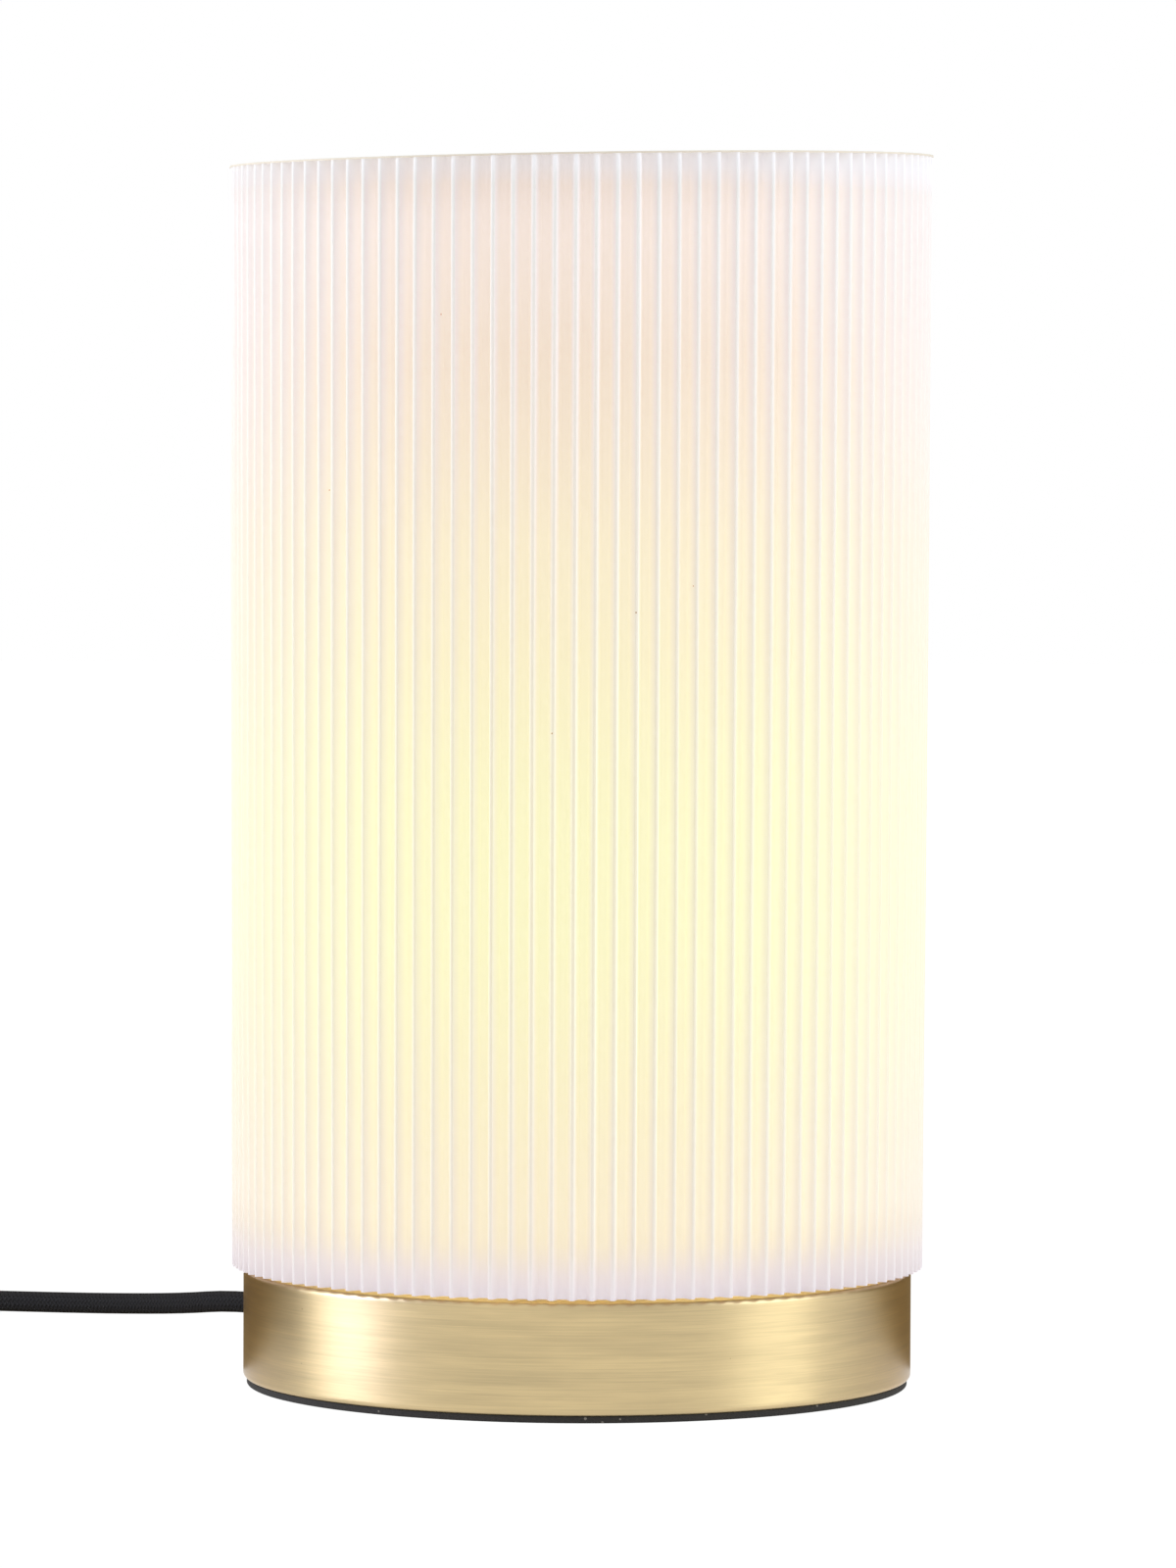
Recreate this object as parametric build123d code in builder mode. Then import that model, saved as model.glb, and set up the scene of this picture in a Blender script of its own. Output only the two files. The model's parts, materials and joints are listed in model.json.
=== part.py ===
from build123d import *
import math
import os

# Table lamp: a pleated paper cylinder over a low brass base, with a stick bulb in a
# screw lampholder and a braided cord with a hand switch and a flat two-pin plug.
# Millimetres, +Z up. The origin is the middle of the pad's underside, on the table.
# The camera side of the lamp is -Y, and +X is to the right.

# ---------------------------------------------------------------- base
pad_inset = 1.0  # pad inside the cover's wall
pad_thickness = 2.0
cover_radius = 95.6
cover_height = 31.2
cover_wall = 1.5
cover_edge_radius = 1.4
plate_thickness = 2.5
plate_gap = 0.3  # bottom plate inside the cover, all round
weight_inset = 13.5  # weight inside the cover's inner face
weight_hole_radius = 26.0
post_count = 3
post_inset = 18.0  # middle of each post inside the weight's rim
post_first_azimuth = 80.0
post_radius = 4.0
post_hole_gap = 0.4  # weight round each post
screw_radius = 2.0  # bottom plate screws
screw_head_radius = 3.9
screw_head_height = 2.2
screw_reach = 12.0  # shank inside the post
thread_gap = 0.05  # threads are modelled as smooth cylinders this far apart

cover_inner_radius = cover_radius - cover_wall
pad_radius = cover_radius - pad_inset
weight_radius = cover_inner_radius - weight_inset
post_circle_radius = weight_radius - post_inset
cover_bottom = pad_thickness
cover_top = cover_bottom + cover_height
cover_ceiling = cover_top - cover_wall
plate_radius = cover_inner_radius - plate_gap
plate_top = pad_thickness + plate_thickness

# ---------------------------------------------------------------- cord, where it leaves the base
cord_diameter = 6.3
exit_azimuth = 140.0
exit_height = 13.5
bushing_flange_radius = 6.5
bushing_flange_thickness = 1.6
bushing_neck_radius = 4.6
bushing_gap = 0.1
relief_length = 20.0
relief_root_radius = 5.4
relief_tip_radius = 4.2
cord_bore_gap = 0.08
clamp_inset = 25.0  # middle of the cord clamp inside the weight's rim
clamp_width = 10.0
clamp_span = 27.0
clamp_roof = 2.4
clamp_screw_offset = 9.0
clamp_screw_radius = 1.75
clamp_screw_depth = 4.0
clamp_screw_head_radius = 3.2
clamp_screw_head_height = 2.2
tail_past_clamp = 5.0
core_radius = 1.1
core_offset = 1.4  # each core from the middle of the nipple
core_bend_radius = 7.5
core_knee_radius = 2.5

cord_radius = cord_diameter / 2
clamp_distance = weight_radius - clamp_inset
weight_top = exit_height - cord_radius
weight_thickness = weight_top - plate_top
exit_direction = Vector(1, 0, 0).rotate(Axis.Z, exit_azimuth)
across_exit = Vector(0, 0, 1).cross(exit_direction)
exit_plane = Plane(origin=(0, 0, exit_height), x_dir=across_exit, z_dir=exit_direction)
flange_seat = math.sqrt(cover_inner_radius**2 - bushing_flange_radius**2) - bushing_gap
collar_seat = cover_radius + bushing_gap
relief_root = collar_seat + bushing_flange_thickness
relief_end = relief_root + relief_length

# ---------------------------------------------------------------- lampholder and its nipple
nipple_radius = 5.0
nipple_bore_radius = 4.0
nipple_below_nut = 1.0
nut_across_flats = 14.0
nut_thickness = 4.0
washer_radius = 10.0
washer_thickness = 1.0
cap_floor = 4.0
cap_wall = 2.2
cap_neck_radius = 13.0
cap_neck_height = 10.0
cap_height = 26.0
holder_radius = 19.6
holder_wall = 2.0
holder_height = 34.0
holder_lip = 1.0
holder_lip_height = 2.0
shoulder_radius = 24.0
shoulder_height = 2.0
shoulder_rise = 3.0  # shoulder above the joint of cap and shell
thread_rib_count = 5
thread_rib_pitch = 2.4
thread_rib_height = 0.3
insert_gap = 0.3
insert_height = 14.0
insert_above_joint = 4.0
insert_ledge = 2.0  # step inside the cap that carries the insert
terminal_offset = 10.0
terminal_hole_radius = 1.5
terminal_hole_depth = 6.0
terminal_screw_radius = 1.5
terminal_screw_gap = 0.15
socket_thread_height = 22.0
socket_sheet = 0.4
contact_width = 5.0
contact_sheet = 0.5
contact_rise = 2.8

cap_top = cover_top + cap_height
holder_top = cap_top + holder_height
shoulder_top = cap_top + shoulder_rise + shoulder_height
holder_inner_radius = holder_radius - holder_wall
insert_radius = holder_inner_radius - insert_gap
insert_top = cap_top + insert_above_joint
insert_bottom = insert_top - insert_height
nut_top = cover_ceiling - washer_thickness
nipple_bottom = nut_top - nut_thickness - nipple_below_nut
upper_nut_bottom = cover_top + cap_floor
nipple_top = upper_nut_bottom + nut_thickness + nipple_below_nut
thread_crest_radius = holder_radius + thread_rib_height

# ---------------------------------------------------------------- bulb
bulb_cap_radius = 13.2
bulb_thread_depth = 0.5
bulb_thread_pitch = 3.63
bulb_cap_sheet = 0.4
bulb_tip_radius = 4.8
bulb_tip_height = 1.4
bulb_tip_gap = 0.3
bulb_insulator_height = 4.0
bulb_cap_height = 20.0
socket_clearance = 0.3
bulb_radius = 19.0
bulb_wall = 1.2
bulb_shoulder_gap = 1.5  # bulb's plastic neck above the holder's rim
bulb_neck_rise = 7.5
bulb_neck_depth = 7.0  # neck inside the screw cap
bulb_plug_height = 1.0  # insulator inside the screw cap
bulb_housing_height = 20.0
diffuser_height = 68.0
diffuser_top_radius = 12.0
led_board_thickness = 1.6
led_column_radius = 5.5
led_column_margin = 14.0
driver_board_width = 15.0
driver_board_thickness = 1.6
bulb_glue_gap = 0.15

bulb_tip_bottom = insert_top + contact_rise + contact_sheet + bulb_tip_gap
bulb_insulator_bottom = bulb_tip_bottom + bulb_tip_height
bulb_cap_bottom = bulb_insulator_bottom + bulb_insulator_height
bulb_cap_top = bulb_cap_bottom + bulb_cap_height
bulb_shoulder = holder_top + bulb_shoulder_gap
diffuser_bottom = bulb_shoulder + bulb_housing_height
bulb_top = diffuser_bottom + diffuser_height
bulb_neck_radius = bulb_cap_radius - bulb_thread_depth - bulb_cap_sheet - bulb_glue_gap
socket_radius = bulb_cap_radius + socket_clearance

# ---------------------------------------------------------------- shade
shade_top_radius = 100.0  # crests of the pleats, at the top
shade_bottom_radius = 98.9
shade_height = 314.0
shade_gap = 1.0  # light gap between the base and the shade
pleat_count = 110
pleat_depth = 3.5
pleat_crest_width = 1.1
pleat_root_width = 2.4
pleat_phase = -90.8  # azimuth of one crest
paper_thickness = 0.35
wire_radius = 1.5
ring_glue_gap = 0.15
bottom_wire_rise = 3.2  # middle of the wire above the paper's lower edge
top_wire_drop = 3.2
hem_ring_thickness = 0.5
hem_ring_overhang = 0.2
spider_ring_gap = 0.4  # centre ring round the holder's thread
spider_ring_width = 13.0
spider_ring_thickness = 1.2
spider_arm_count = 3
spider_first_azimuth = 90.0
spider_arm_inset = 4.0  # weld of each arm under the centre ring, from its rim
spider_arm_knee = 4.0
spider_weld = 0.3
arm_end_gap = 0.02  # butt weld of each arm to the bottom wire ring
seat_gap = 0.3
shade_nut_width = 6.5
shade_nut_height = 6.5
shade_nut_grip_count = 16
shade_nut_grip_radius = 1.6

shade_bottom = cover_top + shade_gap
shade_top = shade_bottom + shade_height
shade_taper = shade_bottom_radius / shade_top_radius
paper_inner_bottom = shade_bottom_radius - pleat_depth * shade_taper - paper_thickness
paper_inner_top = shade_top_radius - pleat_depth - paper_thickness
bottom_wire_circle = paper_inner_bottom - ring_glue_gap - wire_radius
top_wire_circle = paper_inner_top - ring_glue_gap - wire_radius
bottom_wire_height = shade_bottom + bottom_wire_rise
top_wire_height = shade_top - top_wire_drop
spider_ring_inner = thread_crest_radius + spider_ring_gap
spider_ring_outer = spider_ring_inner + spider_ring_width
spider_ring_bottom = shoulder_top + seat_gap
spider_ring_top = spider_ring_bottom + spider_ring_thickness
shade_nut_bottom = spider_ring_top + seat_gap
shade_nut_inner = thread_crest_radius + seat_gap

# ---------------------------------------------------------------- hand switch on the cord
switch_length = 58.0
switch_width = 25.0
switch_height = 17.0
switch_split = 7.0  # height of the joint between the two halves, and of the cord
switch_wall = 2.0
switch_corner = 6.0
switch_edge = 2.5
switch_x = -278.0
switch_start_y = 112.0
switch_hole_gap = 0.12
rocker_length = 18.8
rocker_width = 10.2
rocker_gap_end = 0.9
rocker_gap_side = 0.4
rocker_pivot_height = 12.5
rocker_end_rise = 5.2
rocker_middle_rise = 3.9
rocker_skirt_rise = 0.8
rocker_belly = 1.8
rocker_rest_tilt = 6.0  # the end nearer the plug is pressed in: lamp on
rocker_pin_radius = 1.2
rocker_pin_gap = 0.05
rocker_pin_length = 1.6
rocker_ear_thickness = 2.0
rocker_ear_length = 8.0
switch_screw_offset = (8.3, 22.5)
switch_screw_radius = 1.2
switch_screw_head_radius = 2.1
switch_screw_head_height = 1.4
switch_screw_recess = 1.0
switch_boss_radius = 2.6
switch_contact_size = (4.6, 11.0, 4.4)
switch_contact_offset = 6.8

switch_middle = Vector(switch_x, switch_start_y - switch_length / 2, 0)
switch_end_y = switch_start_y - switch_length

# ---------------------------------------------------------------- coil, tie and plug
coil_turn_radius = 34.65  # middle of the turns, 11 cord diameters across
coil_columns = 3
coil_layers = 2
tie_thickness = 0.8
tie_width = 11.0
tie_azimuth = 60.0
tie_gap = 0.1
plug_azimuth = 300.0
plug_entry = (-250.0, -65.9)
plug_height = 13.7
plug_width = 35.3
plug_neck_width = 15.0
plug_neck_height = 11.5
plug_taper_length = 20.0
plug_face_length = 13.0
plug_relief_length = 16.0
plug_relief_tip_radius = 4.2
plug_relief_root_radius = 5.4
plug_corner = 4.5
pin_radius = 2.0
pin_length = 19.0
pin_spacing = 18.6
pin_core_radius = 1.7
pin_sleeve_length = 10.0
pin_sleeve_gap = 0.02
pin_root = 6.0  # pin held inside the plug

coil_inner_radius = coil_turn_radius - coil_columns * cord_radius
coil_outer_radius = coil_turn_radius + coil_columns * cord_radius
coil_entry_radius = coil_outer_radius - cord_radius
coil_middle = (switch_x + coil_entry_radius, 0.0)
coil_bottom = tie_thickness
coil_top = coil_bottom + coil_layers * cord_diameter
coil_first_height = coil_bottom + cord_radius
coil_last_height = coil_top - cord_radius


def write(part, name):
    """Labels a finished piece and writes it as its own STEP file."""
    part.label = name
    export_step(part, f"parts/{name}.step")


def around(radius, azimuth, height=0.0):
    """The point at a radius and azimuth from the lamp's axis."""
    turn = math.radians(azimuth)
    return (radius * math.cos(turn), radius * math.sin(turn), height)


def thread_wave(crest, depth, pitch, bottom, top):
    """Points up a rolled thread's profile, from crest to root and back."""
    waves = int((top - bottom) / pitch)
    points = []
    for turn in range(waves):
        points += [(crest, bottom + turn * pitch), (crest - depth, bottom + (turn + 0.5) * pitch)]
    return points + [(crest, bottom + waves * pitch), (crest, top)]


os.makedirs("parts", exist_ok=True)

# ---------------------------------------------------------------- base pieces
with BuildPart() as base_pad:
    with BuildSketch():
        Circle(pad_radius)
    extrude(amount=pad_thickness)
write(base_pad.part, "base_pad")

post_azimuths = [post_first_azimuth + turn * 360 / post_count for turn in range(post_count)]
post_places = [around(post_circle_radius, azimuth) for azimuth in post_azimuths]

with BuildPart() as base_plate:
    with BuildSketch(Plane.XY.offset(pad_thickness)):
        Circle(plate_radius)
    extrude(amount=plate_thickness)
    with BuildSketch(Plane.XY.offset(pad_thickness)):
        with Locations(*post_places):
            Circle(screw_radius + thread_gap)
    extrude(amount=plate_thickness, mode=Mode.SUBTRACT)
    for place in post_places:
        with BuildSketch(Plane.XY.offset(pad_thickness)):
            with Locations(place):
                Circle(screw_head_radius + thread_gap)
        with BuildSketch(Plane.XY.offset(pad_thickness + screw_head_height)):
            with Locations(place):
                Circle(screw_radius + thread_gap)
        loft(mode=Mode.SUBTRACT)
write(base_plate.part, "base_plate")

with BuildPart() as base_weight:
    with BuildSketch(Plane.XY.offset(plate_top)):
        Circle(weight_radius)
        Circle(weight_hole_radius, mode=Mode.SUBTRACT)
        with Locations(*post_places):
            Circle(post_radius + post_hole_gap, mode=Mode.SUBTRACT)
    extrude(amount=weight_thickness)
    clamp_seat = Plane(
        origin=exit_direction * clamp_distance + Vector(0, 0, weight_top),
        x_dir=across_exit,
        z_dir=(0, 0, 1),
    )
    with BuildSketch(clamp_seat):
        with Locations((clamp_screw_offset, 0), (-clamp_screw_offset, 0)):
            Circle(clamp_screw_radius + thread_gap)
    extrude(amount=-clamp_screw_depth, mode=Mode.SUBTRACT)
write(base_weight.part, "base_weight")

with BuildPart() as base_cover:
    with BuildSketch(Plane.XY.offset(cover_bottom)):
        Circle(cover_radius)
    extrude(amount=cover_height)
    fillet(base_cover.edges().filter_by(GeomType.CIRCLE), cover_edge_radius)
    with BuildSketch(Plane.XY.offset(cover_bottom)):
        Circle(cover_inner_radius)
    extrude(amount=cover_height - cover_wall, mode=Mode.SUBTRACT)
    with BuildSketch(Plane.XY.offset(cover_top)):
        Circle(nipple_radius + thread_gap)
    extrude(amount=-cover_wall, mode=Mode.SUBTRACT)
    with BuildSketch(exit_plane.offset(cover_inner_radius - bushing_flange_radius)):
        Circle(bushing_neck_radius + bushing_gap)
    extrude(amount=bushing_flange_radius + cover_wall + bushing_neck_radius, mode=Mode.SUBTRACT)
write(base_cover.part, "base_cover")

with BuildPart() as cover_posts:
    with BuildSketch(Plane.XY.offset(plate_top)):
        with Locations(*post_places):
            Circle(post_radius)
    extrude(amount=cover_ceiling - plate_top)
    with BuildSketch(Plane.XY.offset(plate_top)):
        with Locations(*post_places):
            Circle(screw_radius + thread_gap)
    extrude(amount=screw_reach + screw_radius, mode=Mode.SUBTRACT)
write(cover_posts.part, "cover_posts")

with BuildPart() as base_screws:
    for place in post_places:
        with BuildSketch(Plane.XY.offset(pad_thickness)):
            with Locations(place):
                Circle(screw_head_radius)
        with BuildSketch(Plane.XY.offset(pad_thickness + screw_head_height)):
            with Locations(place):
                Circle(screw_radius)
        loft()
    with BuildSketch(Plane.XY.offset(pad_thickness + screw_head_height)):
        with Locations(*post_places):
            Circle(screw_radius)
    extrude(amount=plate_thickness - screw_head_height + screw_reach)
    with BuildSketch(Plane.XY.offset(pad_thickness)):
        with Locations(*post_places):
            Rectangle(screw_head_radius, screw_radius / 3)
            Rectangle(screw_radius / 3, screw_head_radius)
    extrude(amount=screw_head_height / 2, mode=Mode.SUBTRACT)
write(base_screws.part, "base_screws")

# ---------------------------------------------------------------- cord entry
with BuildPart() as cord_bushing:
    with BuildSketch(exit_plane.offset(flange_seat - bushing_flange_thickness)):
        Circle(bushing_flange_radius)
    extrude(amount=bushing_flange_thickness)
    with BuildSketch(exit_plane.offset(flange_seat)):
        Circle(bushing_neck_radius)
    extrude(amount=collar_seat - flange_seat)
    with BuildSketch(exit_plane.offset(collar_seat)):
        Circle(bushing_flange_radius)
    extrude(amount=bushing_flange_thickness)
    with BuildSketch(exit_plane.offset(relief_root)):
        Circle(relief_root_radius)
    with BuildSketch(exit_plane.offset(relief_end)):
        Circle(relief_tip_radius)
    loft()
    with BuildSketch(exit_plane.offset(flange_seat - bushing_flange_thickness)):
        Circle(cord_radius + cord_bore_gap)
    extrude(amount=relief_end - flange_seat + bushing_flange_thickness, mode=Mode.SUBTRACT)
write(cord_bushing.part, "cord_bushing")

tail_end = clamp_distance - clamp_width / 2 - tail_past_clamp
with BuildPart() as cord_tail:
    with BuildSketch(exit_plane.offset(tail_end)):
        Circle(cord_radius)
    extrude(amount=relief_end - tail_end)
write(cord_tail.part, "cord_tail")

clamp_height = cord_diameter + clamp_roof
with BuildPart() as cord_clamp:
    with BuildSketch(clamp_seat):
        RectangleRounded(clamp_span, clamp_width, clamp_width / 5)
    extrude(amount=clamp_height)
    with BuildSketch(exit_plane.offset(clamp_distance - clamp_width)):
        Circle(cord_radius + cord_bore_gap)
    extrude(amount=2 * clamp_width, mode=Mode.SUBTRACT)
    with BuildSketch(clamp_seat):
        with Locations((clamp_screw_offset, 0), (-clamp_screw_offset, 0)):
            Circle(clamp_screw_radius + thread_gap)
    extrude(amount=clamp_height, mode=Mode.SUBTRACT)
write(cord_clamp.part, "cord_clamp")

with BuildPart() as clamp_screws:
    with BuildSketch(clamp_seat.offset(-clamp_screw_depth)):
        with Locations((clamp_screw_offset, 0), (-clamp_screw_offset, 0)):
            Circle(clamp_screw_radius)
    extrude(amount=clamp_screw_depth + clamp_height)
    with BuildSketch(clamp_seat.offset(clamp_height)):
        with Locations((clamp_screw_offset, 0), (-clamp_screw_offset, 0)):
            Circle(clamp_screw_head_radius)
    extrude(amount=clamp_screw_head_height)
    with BuildSketch(clamp_seat.offset(clamp_height + clamp_screw_head_height)):
        with Locations((clamp_screw_offset, 0), (-clamp_screw_offset, 0)):
            Rectangle(clamp_screw_head_radius * 2, clamp_screw_radius / 2)
    extrude(amount=-clamp_screw_head_height / 2, mode=Mode.SUBTRACT)
write(clamp_screws.part, "clamp_screws")

# ---------------------------------------------------------------- nipple, nuts and washer
with BuildPart() as nipple:
    with BuildSketch(Plane.XY.offset(nipple_bottom)):
        Circle(nipple_radius)
        Circle(nipple_bore_radius, mode=Mode.SUBTRACT)
    extrude(amount=nipple_top - nipple_bottom)
write(nipple.part, "nipple")

with BuildPart() as nipple_nuts:
    for nut_bottom in (nut_top - nut_thickness, upper_nut_bottom):
        with BuildSketch(Plane.XY.offset(nut_bottom)):
            RegularPolygon(nut_across_flats / 2, 6, major_radius=False)
            Circle(nipple_radius + thread_gap, mode=Mode.SUBTRACT)
        extrude(amount=nut_thickness)
write(nipple_nuts.part, "nipple_nuts")

with BuildPart() as nipple_washer:
    with BuildSketch(Plane.XY.offset(nut_top)):
        Circle(washer_radius)
        Circle(nipple_radius + thread_gap, mode=Mode.SUBTRACT)
    extrude(amount=washer_thickness)
write(nipple_washer.part, "nipple_washer")

# ---------------------------------------------------------------- lampholder
with BuildPart() as holder_cap:
    with BuildSketch(Plane.XZ):
        with BuildLine():
            Polyline(
                (nipple_radius + thread_gap, cover_top),
                (cap_neck_radius, cover_top),
                (holder_radius, cover_top + cap_neck_height),
                (holder_radius, cap_top),
                (holder_radius - cap_wall, cap_top),
                (holder_radius - cap_wall, insert_bottom),
                (holder_radius - cap_wall - insert_ledge, insert_bottom),
                (holder_radius - cap_wall - insert_ledge, cover_top + cap_neck_height),
                (cap_neck_radius - cap_wall, cover_top + cap_floor),
                (nipple_radius + thread_gap, cover_top + cap_floor),
                close=True,
            )
        make_face()
    revolve(axis=Axis.Z)
write(holder_cap.part, "holder_cap")

with BuildPart() as holder_shell:
    with BuildSketch(Plane.XY.offset(cap_top)):
        Circle(holder_radius)
    extrude(amount=holder_height)
    with BuildSketch(Plane.XY.offset(cap_top + shoulder_rise)):
        Circle(shoulder_radius)
    extrude(amount=shoulder_height)
    for rib in range(thread_rib_count):
        with BuildSketch(Plane.XY.offset(shoulder_top + (rib + 0.5) * thread_rib_pitch)):
            Circle(thread_crest_radius)
        extrude(amount=thread_rib_pitch / 2)
    with BuildSketch(Plane.XY.offset(cap_top)):
        Circle(holder_inner_radius)
    extrude(amount=holder_height - holder_lip_height, mode=Mode.SUBTRACT)
    with BuildSketch(Plane.XY.offset(holder_top)):
        Circle(holder_inner_radius - holder_lip)
    extrude(amount=-holder_lip_height, mode=Mode.SUBTRACT)
write(holder_shell.part, "holder_shell")

terminal_places = [across_exit * terminal_offset, across_exit * -terminal_offset]
terminal_level = Vector(0, 0, insert_bottom + terminal_hole_depth / 2)
terminal_screw_start = terminal_offset + core_radius + terminal_screw_gap
with BuildPart() as holder_insert:
    with BuildSketch(Plane.XY.offset(insert_bottom)):
        Circle(insert_radius)
    extrude(amount=insert_height)
    with BuildSketch(Plane.XY.offset(insert_bottom)):
        with Locations(*terminal_places):
            Circle(terminal_hole_radius)
    extrude(amount=terminal_hole_depth, mode=Mode.SUBTRACT)
    for place in terminal_places:
        with BuildSketch(Plane(origin=place + terminal_level, z_dir=place)):
            Circle(terminal_screw_radius + thread_gap)
        extrude(amount=insert_radius, mode=Mode.SUBTRACT)
write(holder_insert.part, "holder_insert")

with BuildPart() as terminal_screws:
    for place in terminal_places:
        screw_start = place.normalized() * terminal_screw_start
        with BuildSketch(Plane(origin=screw_start + terminal_level, z_dir=place)):
            Circle(terminal_screw_radius)
        extrude(amount=insert_radius - terminal_screw_start - terminal_screw_gap)
write(terminal_screws.part, "terminal_screws")

with BuildPart() as holder_screw_shell:
    with BuildSketch(Plane.XZ):
        with BuildLine():
            inner = thread_wave(
                socket_radius + bulb_thread_depth,
                bulb_thread_depth,
                bulb_thread_pitch,
                insert_top,
                insert_top + socket_thread_height,
            )
            outer = [(radius + socket_sheet, height) for radius, height in reversed(inner)]
            Polyline(*inner, *outer, close=True)
        make_face()
    revolve(axis=Axis.Z)
write(holder_screw_shell.part, "holder_screw_shell")

with BuildPart() as centre_contact:
    with BuildSketch(Plane.XZ.offset(-contact_width / 2)):
        with BuildLine():
            lower = [
                (-socket_radius + contact_sheet, insert_top),
                (-contact_width, insert_top),
                (0, insert_top + contact_rise),
                (contact_width, insert_top + contact_rise),
            ]
            upper = [(x, z + contact_sheet) for x, z in reversed(lower)]
            Polyline(*lower, *upper, close=True)
        make_face()
    extrude(amount=contact_width)
write(centre_contact.part, "centre_contact")

# ---------------------------------------------------------------- the two cores inside
core_names = ("live_core", "neutral_core")
for core_name, side_sign in zip(core_names, (1, -1)):
    beside = across_exit * (side_sign * core_offset)
    terminal = across_exit * (side_sign * terminal_offset)
    core_route = [
        exit_direction * tail_end + beside + Vector(0, 0, exit_height),
        beside + Vector(0, 0, exit_height),
        beside + Vector(0, 0, nipple_top),
        terminal + Vector(0, 0, insert_bottom - core_radius),
        terminal + Vector(0, 0, insert_bottom + terminal_hole_depth - terminal_screw_gap),
    ]
    with BuildPart() as core:
        with BuildLine() as core_path:
            FilletPolyline(*core_route, radius=[core_bend_radius, core_knee_radius, core_knee_radius])
        with BuildSketch(Plane(origin=core_route[0], z_dir=-exit_direction)):
            Circle(core_radius)
        sweep(path=core_path.wires()[0])
    write(core.part, core_name)

# ---------------------------------------------------------------- bulb
with BuildPart() as bulb_tip:
    with BuildSketch(Plane.XY.offset(bulb_tip_bottom)):
        Circle(bulb_tip_radius)
    extrude(amount=bulb_tip_height)
    fillet(bulb_tip.faces().sort_by(Axis.Z)[0].edges(), bulb_tip_height / 2)
write(bulb_tip.part, "bulb_tip")

with BuildPart() as bulb_insulator:
    with BuildSketch(Plane.XY.offset(bulb_insulator_bottom)):
        Circle(bulb_tip_radius + bulb_thread_depth)
    with BuildSketch(Plane.XY.offset(bulb_cap_bottom)):
        Circle(bulb_cap_radius)
    loft()
    with BuildSketch(Plane.XY.offset(bulb_cap_bottom)):
        Circle(bulb_neck_radius)
    extrude(amount=bulb_plug_height)
write(bulb_insulator.part, "bulb_insulator")

with BuildPart() as bulb_screw_cap:
    with BuildSketch(Plane.XZ):
        with BuildLine():
            outer = thread_wave(
                bulb_cap_radius,
                bulb_thread_depth,
                bulb_thread_pitch,
                bulb_cap_bottom,
                bulb_cap_top,
            )
            inner = [(radius - bulb_cap_sheet, height) for radius, height in reversed(outer)]
            Polyline(*outer, *inner, close=True)
        make_face()
    revolve(axis=Axis.Z)
write(bulb_screw_cap.part, "bulb_screw_cap")

with BuildPart() as bulb_housing:
    with BuildSketch(Plane.XZ):
        with BuildLine():
            Polyline(
                (bulb_neck_radius - bulb_wall, bulb_cap_top - bulb_neck_depth),
                (bulb_neck_radius, bulb_cap_top - bulb_neck_depth),
                (bulb_neck_radius, bulb_cap_top + bulb_glue_gap),
                (bulb_cap_radius, bulb_cap_top + bulb_glue_gap),
                (bulb_cap_radius + bulb_wall, bulb_shoulder),
                (bulb_radius, bulb_shoulder + bulb_neck_rise),
                (bulb_radius, diffuser_bottom),
                (bulb_radius - bulb_wall, diffuser_bottom),
                (bulb_radius - bulb_wall, bulb_shoulder + bulb_neck_rise + bulb_wall),
                (bulb_neck_radius - bulb_wall, bulb_shoulder),
                close=True,
            )
        make_face()
    revolve(axis=Axis.Z)
write(bulb_housing.part, "bulb_housing")

with BuildPart() as led_board:
    with BuildSketch(Plane.XY.offset(diffuser_bottom - led_board_thickness)):
        Circle(bulb_radius - bulb_wall - bulb_glue_gap)
    extrude(amount=led_board_thickness)
write(led_board.part, "led_board")

with BuildPart() as led_column:
    with BuildSketch(Plane.XY.offset(diffuser_bottom)):
        RegularPolygon(led_column_radius, 6)
    extrude(amount=diffuser_height - led_column_margin)
write(led_column.part, "led_column")

driver_bottom = bulb_cap_bottom + bulb_thread_pitch
with BuildPart() as driver_board:
    with BuildSketch(Plane.XY.offset(driver_bottom)):
        Rectangle(driver_board_width, driver_board_thickness)
    extrude(amount=diffuser_bottom - led_board_thickness - driver_bottom)
write(driver_board.part, "driver_board")

with BuildPart() as bulb_diffuser:
    with BuildSketch(Plane.XY.offset(diffuser_bottom)):
        Circle(bulb_radius)
    extrude(amount=diffuser_height)
    fillet(bulb_diffuser.faces().sort_by(Axis.Z)[-1].edges(), diffuser_top_radius)
    offset(amount=-bulb_wall, openings=bulb_diffuser.faces().sort_by(Axis.Z)[0])
write(bulb_diffuser.part, "bulb_diffuser")


# ---------------------------------------------------------------- shade
def pleat_outline(crest_radius, scale, inwards):
    """The pleated sheet's outline at one height, moved inwards by the paper's thickness or by nothing."""
    pitch = 360 / pleat_count
    floor_radius = crest_radius - pleat_depth * scale
    half_crest = math.degrees((pleat_crest_width * scale / 2 - inwards) / crest_radius)
    half_root = math.degrees((pleat_root_width * scale / 2 - inwards) / floor_radius)
    points = []
    for pleat in range(pleat_count):
        middle = pleat_phase + pleat * pitch
        points += [
            around(floor_radius - inwards, middle - half_root),
            around(crest_radius - inwards, middle - half_crest),
            around(crest_radius - inwards, middle + half_crest),
            around(floor_radius - inwards, middle + half_root),
        ]
    return [point[:2] for point in points]


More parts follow.
